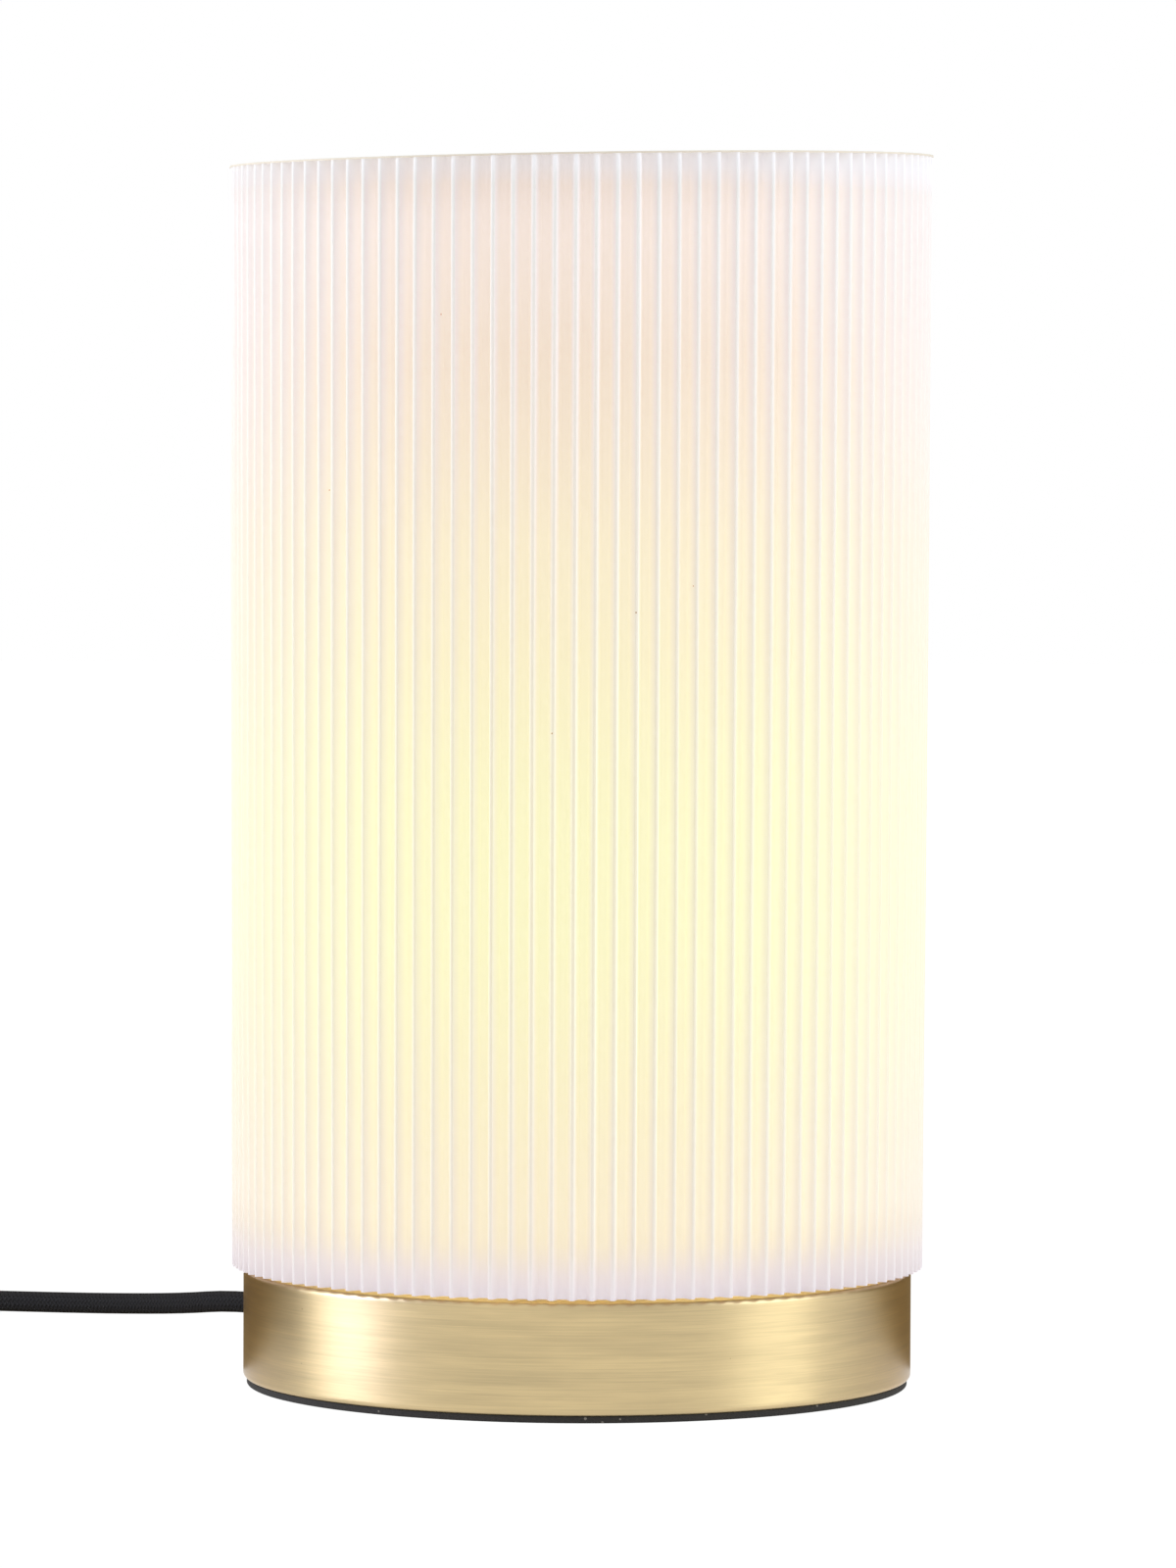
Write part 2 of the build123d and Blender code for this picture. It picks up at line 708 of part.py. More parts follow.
shade_ends = ((shade_bottom, shade_bottom_radius, shade_taper), (shade_top, shade_top_radius, 1.0))
with BuildPart() as pleated_shade:
    for inwards, how in ((0.0, Mode.ADD), (paper_thickness, Mode.SUBTRACT)):
        for height, crest_radius, scale in shade_ends:
            with BuildSketch(Plane.XY.offset(height)):
                with BuildLine():
                    Polyline(*pleat_outline(crest_radius, scale, inwards), close=True)
                make_face()
        loft(ruled=True, clean=False, mode=how)
write(pleated_shade.part, "pleated_shade")

with BuildPart() as top_hem_ring:
    with BuildSketch(Plane.XY.offset(shade_top)):
        Circle(shade_top_radius + hem_ring_overhang)
        Circle(paper_inner_top - hem_ring_overhang, mode=Mode.SUBTRACT)
    extrude(amount=hem_ring_thickness)
write(top_hem_ring.part, "top_hem_ring")

with BuildPart() as top_wire_ring:
    with BuildSketch(Plane.XZ):
        with Locations((top_wire_circle, top_wire_height)):
            Circle(wire_radius)
    revolve(axis=Axis.Z)
write(top_wire_ring.part, "top_wire_ring")

with BuildPart() as bottom_wire_ring:
    with BuildSketch(Plane.XZ):
        with Locations((bottom_wire_circle, bottom_wire_height)):
            Circle(wire_radius)
    revolve(axis=Axis.Z)
write(bottom_wire_ring.part, "bottom_wire_ring")

arm_top = spider_ring_bottom - wire_radius + spider_weld
arm_start = spider_ring_outer - spider_arm_inset
arm_knee = Vector(arm_start + spider_arm_knee, arm_top)
arm_fall = Vector(bottom_wire_circle, bottom_wire_height) - arm_knee
arm_end = arm_knee + arm_fall * (1 - (wire_radius + arm_end_gap) / arm_fall.length)
with BuildPart() as shade_spider:
    with BuildSketch(Plane.XY.offset(spider_ring_bottom)):
        Circle(spider_ring_outer)
        Circle(spider_ring_inner, mode=Mode.SUBTRACT)
    extrude(amount=spider_ring_thickness)
    for arm in range(spider_arm_count):
        azimuth = spider_first_azimuth + arm * 360 / spider_arm_count
        arm_route = [
            around(arm_start, azimuth, arm_top),
            around(arm_knee.X, azimuth, arm_knee.Y),
            around(arm_end.X, azimuth, arm_end.Y),
        ]
        with BuildLine() as arm_path:
            FilletPolyline(*arm_route, radius=spider_arm_knee)
        with BuildSketch(Plane(origin=arm_route[0], z_dir=around(1, azimuth))):
            Circle(wire_radius)
        sweep(path=arm_path.wires()[0])
write(shade_spider.part, "shade_spider")

shade_nut_outer = shade_nut_inner + shade_nut_width
with BuildPart() as shade_ring_nut:
    with BuildSketch(Plane.XY.offset(shade_nut_bottom)):
        Circle(shade_nut_outer)
        with PolarLocations(shade_nut_outer + shade_nut_grip_radius / 2, shade_nut_grip_count):
            Circle(shade_nut_grip_radius, mode=Mode.SUBTRACT)
        Circle(shade_nut_inner, mode=Mode.SUBTRACT)
    extrude(amount=shade_nut_height)
write(shade_ring_nut.part, "shade_ring_nut")

# ---------------------------------------------------------------- hand switch
switch_plane = Plane(origin=switch_middle, x_dir=(1, 0, 0), z_dir=(0, 0, 1))
switch_floor = switch_wall
switch_ceiling = switch_height - switch_wall
screw_x, screw_y = switch_screw_offset
screw_places = [(screw_x, screw_y), (-screw_x, -screw_y)]
cavity_size = (switch_width - 2 * switch_wall, switch_length - 2 * switch_wall)
cord_hole_plane = Plane(
    origin=(switch_x, switch_start_y, switch_split), x_dir=(1, 0, 0), z_dir=(0, -1, 0)
)
opening_size = (rocker_width + 2 * rocker_gap_side, rocker_length + 2 * rocker_gap_end)

with BuildPart() as switch_lower_shell:
    with BuildSketch(switch_plane):
        RectangleRounded(switch_width, switch_length, switch_corner)
    extrude(amount=switch_split)
    fillet(switch_lower_shell.faces().sort_by(Axis.Z)[0].edges(), switch_edge / 2)
    with BuildSketch(switch_plane.offset(switch_floor)):
        RectangleRounded(*cavity_size, switch_corner - switch_wall)
    extrude(amount=switch_split - switch_floor, mode=Mode.SUBTRACT)
    with BuildSketch(switch_plane):
        with Locations(*screw_places):
            Circle(switch_boss_radius)
    extrude(amount=switch_split)
    with BuildSketch(switch_plane):
        with Locations(*screw_places):
            Circle(switch_screw_radius + thread_gap)
    extrude(amount=switch_split, mode=Mode.SUBTRACT)
    with BuildSketch(switch_plane):
        with Locations(*screw_places):
            Circle(switch_screw_head_radius + thread_gap)
    extrude(amount=switch_screw_recess + switch_screw_head_height, mode=Mode.SUBTRACT)
    with BuildSketch(cord_hole_plane):
        Circle(cord_radius + switch_hole_gap)
    extrude(amount=switch_length, mode=Mode.SUBTRACT)
write(switch_lower_shell.part, "switch_lower_shell")

ear_middle = opening_size[0] / 2 + rocker_ear_thickness / 2
ear_bottom = rocker_pivot_height - rocker_pin_radius - rocker_ear_thickness / 2
with BuildPart() as switch_upper_shell:
    with BuildSketch(switch_plane.offset(switch_split)):
        RectangleRounded(switch_width, switch_length, switch_corner)
    extrude(amount=switch_height - switch_split)
    fillet(switch_upper_shell.faces().sort_by(Axis.Z)[-1].edges(), switch_edge)
    with BuildSketch(switch_plane.offset(switch_split)):
        RectangleRounded(*cavity_size, switch_corner - switch_wall)
    extrude(amount=switch_ceiling - switch_split, mode=Mode.SUBTRACT)
    with BuildSketch(switch_plane.offset(switch_split)):
        with Locations(*screw_places):
            Circle(switch_boss_radius)
    extrude(amount=switch_ceiling - switch_split)
    with BuildSketch(switch_plane.offset(ear_bottom)):
        with Locations((ear_middle, 0), (-ear_middle, 0)):
            Rectangle(rocker_ear_thickness, rocker_ear_length)
    extrude(amount=switch_ceiling - ear_bottom)
    with BuildSketch(switch_plane.offset(switch_split)):
        with Locations(*screw_places):
            Circle(switch_screw_radius + thread_gap)
    extrude(amount=(switch_ceiling - switch_split) * 0.8, mode=Mode.SUBTRACT)
    with BuildSketch(switch_plane.offset(switch_ceiling)):
        Rectangle(*opening_size)
    extrude(amount=switch_wall, mode=Mode.SUBTRACT)
    with BuildSketch(
        Plane(
            origin=switch_middle + Vector(-switch_width / 2 + switch_wall, 0, rocker_pivot_height),
            z_dir=(1, 0, 0),
        )
    ):
        Circle(rocker_pin_radius + rocker_pin_gap)
    extrude(amount=switch_width - 2 * switch_wall, mode=Mode.SUBTRACT)
    with BuildSketch(cord_hole_plane):
        Circle(cord_radius + switch_hole_gap)
    extrude(amount=switch_length, mode=Mode.SUBTRACT)
write(switch_upper_shell.part, "switch_upper_shell")

rocker_tilt = math.radians(rocker_rest_tilt)
rocker_plane = Plane(
    origin=switch_middle + Vector(-rocker_width / 2, 0, rocker_pivot_height),
    x_dir=(0, math.cos(rocker_tilt), math.sin(rocker_tilt)),
    z_dir=(1, 0, 0),
)
half_rocker = rocker_length / 2
with BuildPart() as switch_rocker:
    with BuildSketch(rocker_plane):
        with BuildLine():
            Polyline(
                (-half_rocker, rocker_skirt_rise),
                (-half_rocker, rocker_end_rise),
                (0, rocker_middle_rise),
                (half_rocker, rocker_end_rise),
                (half_rocker, rocker_skirt_rise),
                (0, -rocker_belly),
                close=True,
            )
        make_face()
    extrude(amount=rocker_width)
    with BuildSketch(rocker_plane.offset(-rocker_pin_length)):
        Circle(rocker_pin_radius)
    extrude(amount=rocker_width + 2 * rocker_pin_length)
write(switch_rocker.part, "switch_rocker")

with BuildPart() as switch_screws:
    with BuildSketch(switch_plane.offset(switch_screw_recess)):
        with Locations(*screw_places):
            Circle(switch_screw_head_radius)
    extrude(amount=switch_screw_head_height)
    with BuildSketch(switch_plane.offset(switch_screw_recess)):
        with Locations(*screw_places):
            Circle(switch_screw_radius)
    extrude(amount=switch_split + (switch_ceiling - switch_split) * 0.6 - switch_screw_recess)
write(switch_screws.part, "switch_screws")

with BuildPart() as switch_contacts:
    with BuildSketch(switch_plane.offset(switch_floor)):
        with Locations((switch_contact_offset, 0), (-switch_contact_offset, 0)):
            Rectangle(*switch_contact_size[:2])
    extrude(amount=switch_contact_size[2])
write(switch_contacts.part, "switch_contacts")

# ---------------------------------------------------------------- plug
plug_axis_height = plug_height / 2
plug_plane = Plane(
    origin=(*plug_entry, plug_axis_height),
    x_dir=around(1, plug_azimuth + 90),
    z_dir=around(1, plug_azimuth),
)
plug_neck = plug_relief_length
plug_shoulder = plug_neck + plug_taper_length
plug_face = plug_shoulder + plug_face_length
pin_places = [(pin_spacing / 2, 0), (-pin_spacing / 2, 0)]

with BuildPart() as plug_body:
    with BuildSketch(plug_plane):
        Circle(plug_relief_tip_radius)
    with BuildSketch(plug_plane.offset(plug_neck)):
        Circle(plug_relief_root_radius)
    loft()
    with BuildSketch(plug_plane.offset(plug_neck)):
        RectangleRounded(plug_neck_width, plug_neck_height, plug_corner)
    with BuildSketch(plug_plane.offset(plug_shoulder)):
        RectangleRounded(plug_width, plug_height, plug_corner)
    loft()
    with BuildSketch(plug_plane.offset(plug_shoulder)):
        RectangleRounded(plug_width, plug_height, plug_corner)
    extrude(amount=plug_face_length)
    with BuildSketch(plug_plane.offset(plug_face)):
        with Locations(*pin_places):
            Circle(pin_radius + thread_gap)
    extrude(amount=-pin_root, mode=Mode.SUBTRACT)
write(plug_body.part, "plug_body")

with BuildPart() as plug_pins:
    with BuildSketch(plug_plane.offset(plug_face - pin_root)):
        with Locations(*pin_places):
            Circle(pin_core_radius)
    extrude(amount=pin_root + pin_length)
    with BuildSketch(plug_plane.offset(plug_face + pin_sleeve_length)):
        with Locations(*pin_places):
            Circle(pin_radius)
    extrude(amount=pin_length - pin_sleeve_length)
    fillet(
        plug_pins.edges().filter_by(GeomType.CIRCLE).sort_by(Axis(plug_plane.origin, plug_plane.z_dir))[-2:],
        pin_radius / 2,
    )
write(plug_pins.part, "plug_pins")

with BuildPart() as pin_sleeves:
    with BuildSketch(plug_plane.offset(plug_face - pin_root)):
        with Locations(*pin_places):
            Circle(pin_radius)
            Circle(pin_core_radius + pin_sleeve_gap, mode=Mode.SUBTRACT)
    extrude(amount=pin_root + pin_sleeve_length)
write(pin_sleeves.part, "pin_sleeves")

# ---------------------------------------------------------------- coil and tie
with BuildPart() as cord_coil:
    with BuildSketch(Plane.XZ):
        with Locations((coil_turn_radius, (coil_bottom + coil_top) / 2)):
            RectangleRounded(
                coil_outer_radius - coil_inner_radius, coil_top - coil_bottom, cord_radius * 0.98
            )
    revolve(axis=Axis.Z)
coil_solid = cord_coil.part.moved(Location((*coil_middle, 0)))
write(coil_solid, "cord_coil")

tie_plane = Plane(
    origin=(*coil_middle, (coil_bottom + coil_top) / 2),
    x_dir=around(1, tie_azimuth),
    z_dir=around(1, tie_azimuth - 90),
)
tie_inner = math.sqrt(coil_inner_radius**2 - (tie_width / 2) ** 2) - tie_gap
tie_outer = coil_outer_radius + tie_gap
tie_height = coil_top - coil_bottom
tie_corner = cord_radius * 0.9
with BuildPart() as cord_tie:
    with BuildSketch(tie_plane.offset(-tie_width / 2)):
        with Locations(((tie_inner + tie_outer) / 2, 0)):
            RectangleRounded(
                tie_outer - tie_inner + 2 * tie_thickness,
                tie_height + 2 * tie_thickness,
                tie_corner + tie_thickness,
            )
            RectangleRounded(tie_outer - tie_inner, tie_height, tie_corner, mode=Mode.SUBTRACT)
    extrude(amount=tie_width)
write(cord_tie.part, "cord_tie")


# ---------------------------------------------------------------- free cord
def corner_radii(route):
    """The largest tangent arc for each corner of a route: 0.45 of its shorter run."""
    radii = []
    for before, corner, after in zip(route, route[1:], route[2:]):
        into, out = corner - before, after - corner
        half_turn = math.radians(into.get_angle(out)) / 2
        radii.append(0.45 * min(into.length, out.length) / math.tan(half_turn))
    return radii


cord_start = exit_direction * relief_end + Vector(0, 0, exit_height)
first_corner = exit_direction * (relief_end + 17.3) + Vector(0, 0, exit_height)
cord_to_switch = [
    cord_start,
    first_corner,
    Vector(-119.0, 108.0, 10.0),
    Vector(-143.0, 136.0, 6.8),
    Vector(-170.5, 160.0, 4.6),
    Vector(-200.0, 177.0, 3.4),
    Vector(-229.0, 180.0, 3.2),
    Vector(-255.0, 170.5, 3.4),
    Vector(-272.5, 150.5, 4.6),
    Vector(switch_x, 128.5, switch_split),
    Vector(switch_x, 106.5, switch_split),
]
cord_to_coil = [
    Vector(switch_x, switch_end_y + 6.0, switch_split),
    Vector(switch_x, switch_end_y - 12.0, switch_split),
    Vector(switch_x, 22.0, coil_first_height),
    Vector(switch_x, 3.0, coil_first_height),
]
plug_mouth = Vector(*plug_entry, plug_axis_height)
cord_to_plug = [
    Vector(-274.2, -17.3, coil_last_height),
    Vector(-266.6, -33.6, 9.4),
    plug_mouth - Vector(*around(16.0, plug_azimuth)),
    plug_mouth,
]
cord_routes = {
    "cord_to_switch": cord_to_switch,
    "cord_to_coil": cord_to_coil,
    "cord_to_plug": cord_to_plug,
}
for cord_name, route in cord_routes.items():
    radii = corner_radii(route)
    with BuildPart() as cord_stretch:
        with BuildLine() as cord_path:
            FilletPolyline(*route, radius=radii)
        path = cord_path.wires()[0]
        with BuildSketch(Plane(origin=route[0], z_dir=route[1] - route[0])):
            Circle(cord_radius)
        sweep(path=path)
    write(cord_stretch.part, cord_name)
    tube_volume = math.pi * cord_radius**2 * path.length
    print(cord_name, "radii", [round(radius, 1) for radius in radii], "length", round(path.length, 1))
    print("  runs", [round((b - a).length, 1) for a, b in zip(route, route[1:])])
    print("  volume over section times length", round(cord_stretch.part.volume / tube_volume, 4))

turns = coil_columns * coil_layers
print("coil", turns, "turns, about", round(turns * 2 * math.pi * coil_turn_radius), "mm of cord")
print("lamp height", round(shade_top + hem_ring_thickness, 2), "shade bottom", round(shade_bottom, 2))
print("bulb top", round(bulb_top, 2), "diffuser bottom", round(diffuser_bottom, 2))
print("rocker pivot", tuple(switch_middle + Vector(0, 0, rocker_pivot_height)))
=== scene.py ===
# %% [markdown]
# Pleated paper table lamp, dressed in Blender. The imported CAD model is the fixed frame: every piece
# here is made in metres, in the same place as its CAD solid, and rides on the same body.

import json
import math

import bpy
from mathutils import Matrix, Vector


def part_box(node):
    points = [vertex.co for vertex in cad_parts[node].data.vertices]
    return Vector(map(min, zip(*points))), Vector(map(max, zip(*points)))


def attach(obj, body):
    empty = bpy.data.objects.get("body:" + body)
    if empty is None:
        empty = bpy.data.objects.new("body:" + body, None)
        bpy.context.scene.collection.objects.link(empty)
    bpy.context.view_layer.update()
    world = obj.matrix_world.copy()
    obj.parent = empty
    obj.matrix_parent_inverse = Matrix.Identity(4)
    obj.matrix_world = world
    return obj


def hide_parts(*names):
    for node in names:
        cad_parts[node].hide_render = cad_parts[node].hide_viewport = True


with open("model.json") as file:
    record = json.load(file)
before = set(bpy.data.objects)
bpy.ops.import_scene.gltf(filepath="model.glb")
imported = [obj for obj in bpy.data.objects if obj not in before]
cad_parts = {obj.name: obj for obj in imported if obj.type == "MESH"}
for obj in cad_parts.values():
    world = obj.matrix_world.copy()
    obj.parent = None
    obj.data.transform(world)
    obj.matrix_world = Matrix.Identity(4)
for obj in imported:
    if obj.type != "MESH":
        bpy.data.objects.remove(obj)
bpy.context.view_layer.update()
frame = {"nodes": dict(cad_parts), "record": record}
cad_nodes = frame["nodes"]

# %% [markdown]
# The camera comes first, because it decides what has to look right. The photograph was taken with a
# long lens from about two metres, from below the top of the lamp, tilted down by two degrees and not
# quite level.

# %% Camera
PHOTO_HEIGHT = 1600
FOCAL_PIXELS = 7642
SENSOR_HEIGHT = 36.0
CAMERA_TILT = 2.398
CAMERA_ROLL = 0.23
CAMERA_PLACE = (0.00254, -2.140, 0.2613)
camera_data = bpy.data.cameras.new("camera")
camera_data.sensor_fit = "VERTICAL"
camera_data.sensor_height = SENSOR_HEIGHT
camera_data.lens = FOCAL_PIXELS / PHOTO_HEIGHT * SENSOR_HEIGHT
camera = bpy.data.objects.new("camera", camera_data)
camera.location = CAMERA_PLACE
look_down = Matrix.Rotation(math.radians(90 - CAMERA_TILT), 4, "X")
camera.rotation_euler = (look_down @ Matrix.Rotation(math.radians(CAMERA_ROLL), 4, "Z")).to_euler()
bpy.context.scene.collection.objects.link(camera)
bpy.context.scene.camera = camera
print("lens", round(camera_data.lens, 1), "mm")

# %% [markdown]
# Small helpers keep the later cells short. `put` sets a socket to a number or joins it to another
# socket, `add` makes a node with its settings and inputs in one call, and `calc` is one Math node.


# %% Helpers for node trees
def put(tree, socket, value):
    """Joins a socket to another one, or gives it a plain value."""
    if isinstance(value, bpy.types.NodeSocket):
        tree.links.new(value, socket)
    else:
        socket.default_value = value


def add(tree, kind, inputs=None, **settings):
    """A new node with its settings, and with its inputs set or joined."""
    made = tree.nodes.new(kind)
    for name, value in settings.items():
        setattr(made, name, value)
    for name, value in (inputs or {}).items():
        put(tree, made.inputs[name], value)
    return made


def calc(tree, operation, *values):
    """One Math node, which works in shader and geometry trees alike."""
    made = add(tree, "ShaderNodeMath", operation=operation)
    for place, value in enumerate(values):
        put(tree, made.inputs[place], value)
    return made.outputs[0]


def blend_values(tree, share, low, high):
    """low where share is 0 and high where it is 1."""
    return calc(tree, "MULTIPLY_ADD", share, calc(tree, "SUBTRACT", high, low), low)


def ramp(tree, value, stops):
    """A colour ramp with (place, colour) stops."""
    made = add(tree, "ShaderNodeValToRGB", {"Fac": value})
    steps = made.color_ramp.elements
    while len(steps) < len(stops):
        steps.new(0.5)
    for step, (place, colour) in zip(steps, stops):
        step.position = place
        step.color = (*colour, 1)
    return made.outputs["Color"]


def fade(tree, value, start, end):
    """0 at start, 1 at end, with soft shoulders."""
    made = add(tree, "ShaderNodeMapRange", interpolation_type="SMOOTHSTEP")
    for name, number in (("Value", value), ("From Min", start), ("From Max", end)):
        put(tree, made.inputs[name], number)
    return made.outputs["Result"]


def link_object(obj):
    """Puts an object in the scene and hands it back."""
    bpy.context.scene.collection.objects.link(obj)
    return obj


def object_of(name, verts, faces):
    """A mesh object at the origin, with its place in its mesh."""
    mesh = bpy.data.meshes.new(name)
    mesh.from_pydata(verts, [], faces)
    mesh.update()
    return link_object(bpy.data.objects.new(name, mesh))


def baked(obj, name):
    """The object with its modifiers applied, as a plain mesh of its own."""
    seen = obj.evaluated_get(bpy.context.evaluated_depsgraph_get())
    mesh = bpy.data.meshes.new_from_object(seen)
    mesh.name = name
    bpy.data.objects.remove(obj)
    return link_object(bpy.data.objects.new(name, mesh))


# %% [markdown]
# The cord leaves the back left of the base, runs to a hand switch, and its spare length lies wound in
# a neat round coil with the plug beside it. A cord is one smooth NURBS curve through the route's
# points, because a curve of that kind bends like a cord does and never kinks.

# %% Cord route
CORD_DIAMETER = 0.0063
cord_exit = (-0.08986, 0.07540, 0.0135)
points_to_coil = [
    cord_exit,
    (-0.10311, 0.08652, 0.0135),
    (-0.1190, 0.1080, 0.0100),
    (-0.1430, 0.1360, 0.0068),
    (-0.1705, 0.1600, 0.0046),
    (-0.2000, 0.1770, 0.0034),
    (-0.2290, 0.1800, 0.0032),
    (-0.2550, 0.1705, 0.0034),
    (-0.2725, 0.1505, 0.0046),
    (-0.2780, 0.1285, 0.0070),
    (-0.2780, 0.1065, 0.0070),
    (-0.2780, 0.0600, 0.0070),
    (-0.2780, 0.0420, 0.0070),
    (-0.2780, 0.0220, 0.00395),
]
points_to_plug = [
    (-0.2666, -0.0336, 0.0094),
    (-0.2580, -0.05204, 0.00685),
    (-0.2500, -0.0659, 0.00685),
]
COIL_MIDDLE = Vector((-0.23705, 0, 0))
COIL_RADII = (0.04095, 0.03465, 0.02835)
COIL_LAYERS = (0.00395, 0.01025)
COIL_TURNS = 6
STEP_INWARDS = (0.72, 0.98)
CLIMB = (2.74, 3.0)
STEP_OUTWARDS = (3.45, 3.70)
POINTS_PER_TURN = 24
CORD_SIDES = 20


def eased(start, end, value):
    """0 before start, 1 after end, and a smooth step between them."""
    share = min(1, max(0, (value - start) / (end - start)))
    return share * share * (3 - 2 * share)


def coil_route():
    """Three turns inwards on the table, a climb, three turns outwards on top, and a little more."""
    points = []
    last = len(COIL_RADII) - 1
    low, high = COIL_LAYERS
    for count in range(1, COIL_TURNS * POINTS_PER_TURN + 2):
        turn = count / POINTS_PER_TURN
        radius = COIL_RADII[0]
        for k in range(last):
            inwards = eased(*STEP_INWARDS, turn - k)
            outwards = eased(*STEP_OUTWARDS, turn - k)
            radius -= (COIL_RADII[k] - COIL_RADII[k + 1]) * inwards
            radius += (COIL_RADII[last - k - 1] - COIL_RADII[last - k]) * outwards
        height = low + (high - low) * eased(*CLIMB, turn)
        azimuth = math.pi * (1 + 2 * turn)
        offset = Vector((math.cos(azimuth), math.sin(azimuth), 0)) * radius
        points.append(COIL_MIDDLE + offset + Vector((0, 0, height)))
    return points


def nurbs_line(name, points):
    """Points along the route's NURBS curve."""
    curve = bpy.data.curves.new(name, "CURVE")
    curve.dimensions = "3D"
    spline = curve.splines.new("NURBS")
    spline.points.add(len(points) - 1)
    for point, place in zip(spline.points, points):
        point.co = (*place, 1)
    spline.order_u = 3
    spline.use_endpoint_u = True
    spline.resolution_u = 4
    holder = link_object(bpy.data.objects.new(name, curve))
    line = bpy.data.meshes.new_from_object(holder)
    places = [vertex.co.copy() for vertex in line.vertices]
    bpy.data.objects.remove(holder)
    return places


cord_line = nurbs_line("cord_line", points_to_coil + coil_route() + points_to_plug)
cord_run = sum((b - a).length for a, b in zip(cord_line, cord_line[1:]))
print("cord line", len(cord_line), "points,", round(cord_run, 3), "m")

# %% [markdown]
# The textile sleeve is a closed tube along that line. Its UV map counts once round the tube and, along
# it, in the same unit, so that the braid's diagonals stay at 45 degrees on every bend.


# %% Cord tube
def tube(name, line, radius, sides):
    """A closed round tube along a line, with an even UV map and no twist."""
    verts, faces, runs = [], [], [0.0]
    side_way = Vector((0, 0, 1))
    for i, place in enumerate(line):
        tangent = (line[min(i + 1, len(line) - 1)] - line[max(i - 1, 0)]).normalized()
        side_way = (side_way - tangent * side_way.dot(tangent)).normalized()
        up_way = tangent.cross(side_way)
        if i:
            runs.append(runs[-1] + (place - line[i - 1]).length)
        for j in range(sides):
            turn = 2 * math.pi * j / sides
            verts.append(place + (side_way * math.cos(turn) + up_way * math.sin(turn)) * radius)
    for i in range(len(line) - 1):
        for j in range(sides):
            k = (j + 1) % sides
            faces.append((i * sides + j, i * sides + k, (i + 1) * sides + k, (i + 1) * sides + j))
    faces.append(tuple(reversed(range(sides))))
    faces.append(tuple(range((len(line) - 1) * sides, len(line) * sides)))
    made = object_of(name, verts, faces)
    uv = made.data.uv_layers.new(name="along").data
    around = 2 * math.pi * radius
    for polygon in made.data.polygons:
        corners = polygon.loop_indices
        for corner in corners:
            i, j = divmod(made.data.loops[corner].vertex_index, sides)
            turned = j == 0 and polygon.index % sides == sides - 1 and len(corners) == 4
            uv[corner].uv = (1 if turned else j / sides, runs[i] / around)
    made.data.shade_smooth()
    return made


cord = tube("braided_cord", cord_line, CORD_DIAMETER / 2, CORD_SIDES)
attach(cord, "base")
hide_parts("cord_to_switch", "cord_to_coil", "cord_coil", "cord_to_plug")
print("cord tube", len(cord.data.polygons), "faces")

# %% [markdown]
# Three effects turn up on many surfaces, so each is a shader node group with named inputs: faint
# clouding, tiny scattered specks, and the fine lines that a brush or lathe leaves round an axis.


# %% Shared effects
def effect(name, inputs, outputs):
    """An empty shader node group with float inputs (name, default) and float outputs."""
    group = bpy.data.node_groups.new(name, "ShaderNodeTree")
    for label, start in inputs:
        socket = group.interface.new_socket(label, in_out="INPUT", socket_type="NodeSocketFloat")
        socket.default_value = start
    for label in outputs:
        group.interface.new_socket(label, in_out="OUTPUT", socket_type="NodeSocketFloat")
    return group, add(group, "NodeGroupInput").outputs, add(group, "NodeGroupOutput").inputs


def place_of(tree):
    """The point on the object, in metres."""
    return add(tree, "ShaderNodeTexCoord").outputs["Object"]


def noise(tree, where, scale, detail, roughness=0.5):
    """Smooth noise between 0 and 1."""
    made = add(tree, "ShaderNodeTexNoise", {"Vector": where, "Detail": detail, "Roughness": roughness})
    put(tree, made.inputs["Scale"], scale)
    return made.outputs["Fac"]


clouding, given, result = effect("clouding", [("Scale", 200.0), ("Strength", 0.1)], ["Shade"])
soft_noise = noise(clouding, place_of(clouding), given["Scale"], 3.0)
centred = calc(clouding, "SUBTRACT", soft_noise, 0.5)
put(clouding, result["Shade"], calc(clouding, "MULTIPLY_ADD", centred, given["Strength"], 1.0))

specks, given, result = effect("specks", [("Scale", 300.0), ("Size", 0.1), ("Share", 0.2)], ["Mask"])
cells = add(specks, "ShaderNodeTexVoronoi", {"Vector": place_of(specks)})
put(specks, cells.inputs["Scale"], given["Scale"])
inside = calc(specks, "LESS_THAN", cells.outputs["Distance"], given["Size"])
picked = add(specks, "ShaderNodeSeparateColor", {"Color": cells.outputs["Color"]}).outputs["Red"]
chosen = calc(specks, "LESS_THAN", picked, given["Share"])
put(specks, result["Mask"], calc(specks, "MULTIPLY", inside, chosen))

brushed, given, result = effect(
    "brushed_round_axis", [("Along", 26.0), ("Across", 2600.0)], ["Lines", "Patches"]
)
here = add(brushed, "ShaderNodeSeparateXYZ", {"Vector": place_of(brushed)}).outputs
squares = [calc(brushed, "POWER", here[axis], 2.0) for axis in "XY"]
out_way = calc(brushed, "SQRT", calc(brushed, "ADD", *squares))
lift = calc(brushed, "MULTIPLY", calc(brushed, "ADD", here["Z"], out_way), given["Across"])
PATCH_SHARE = 0.12


def streaks(output, across, detail, roughness):
    """Noise stretched round the axis: longer along the line than across it."""
    where = add(brushed, "ShaderNodeCombineXYZ", {
        "X": calc(brushed, "MULTIPLY", here["X"], given["Along"]),
        "Y": calc(brushed, "MULTIPLY", here["Y"], given["Along"]),
        "Z": across,
    }).outputs["Vector"]
    put(brushed, result[output], noise(brushed, where, 1.0, detail, roughness))


streaks("Lines", lift, 4.0, 0.7)
streaks("Patches", calc(brushed, "MULTIPLY", lift, PATCH_SHARE), 3.0, 0.6)
print("effects:", clouding.name, specks.name, brushed.name)

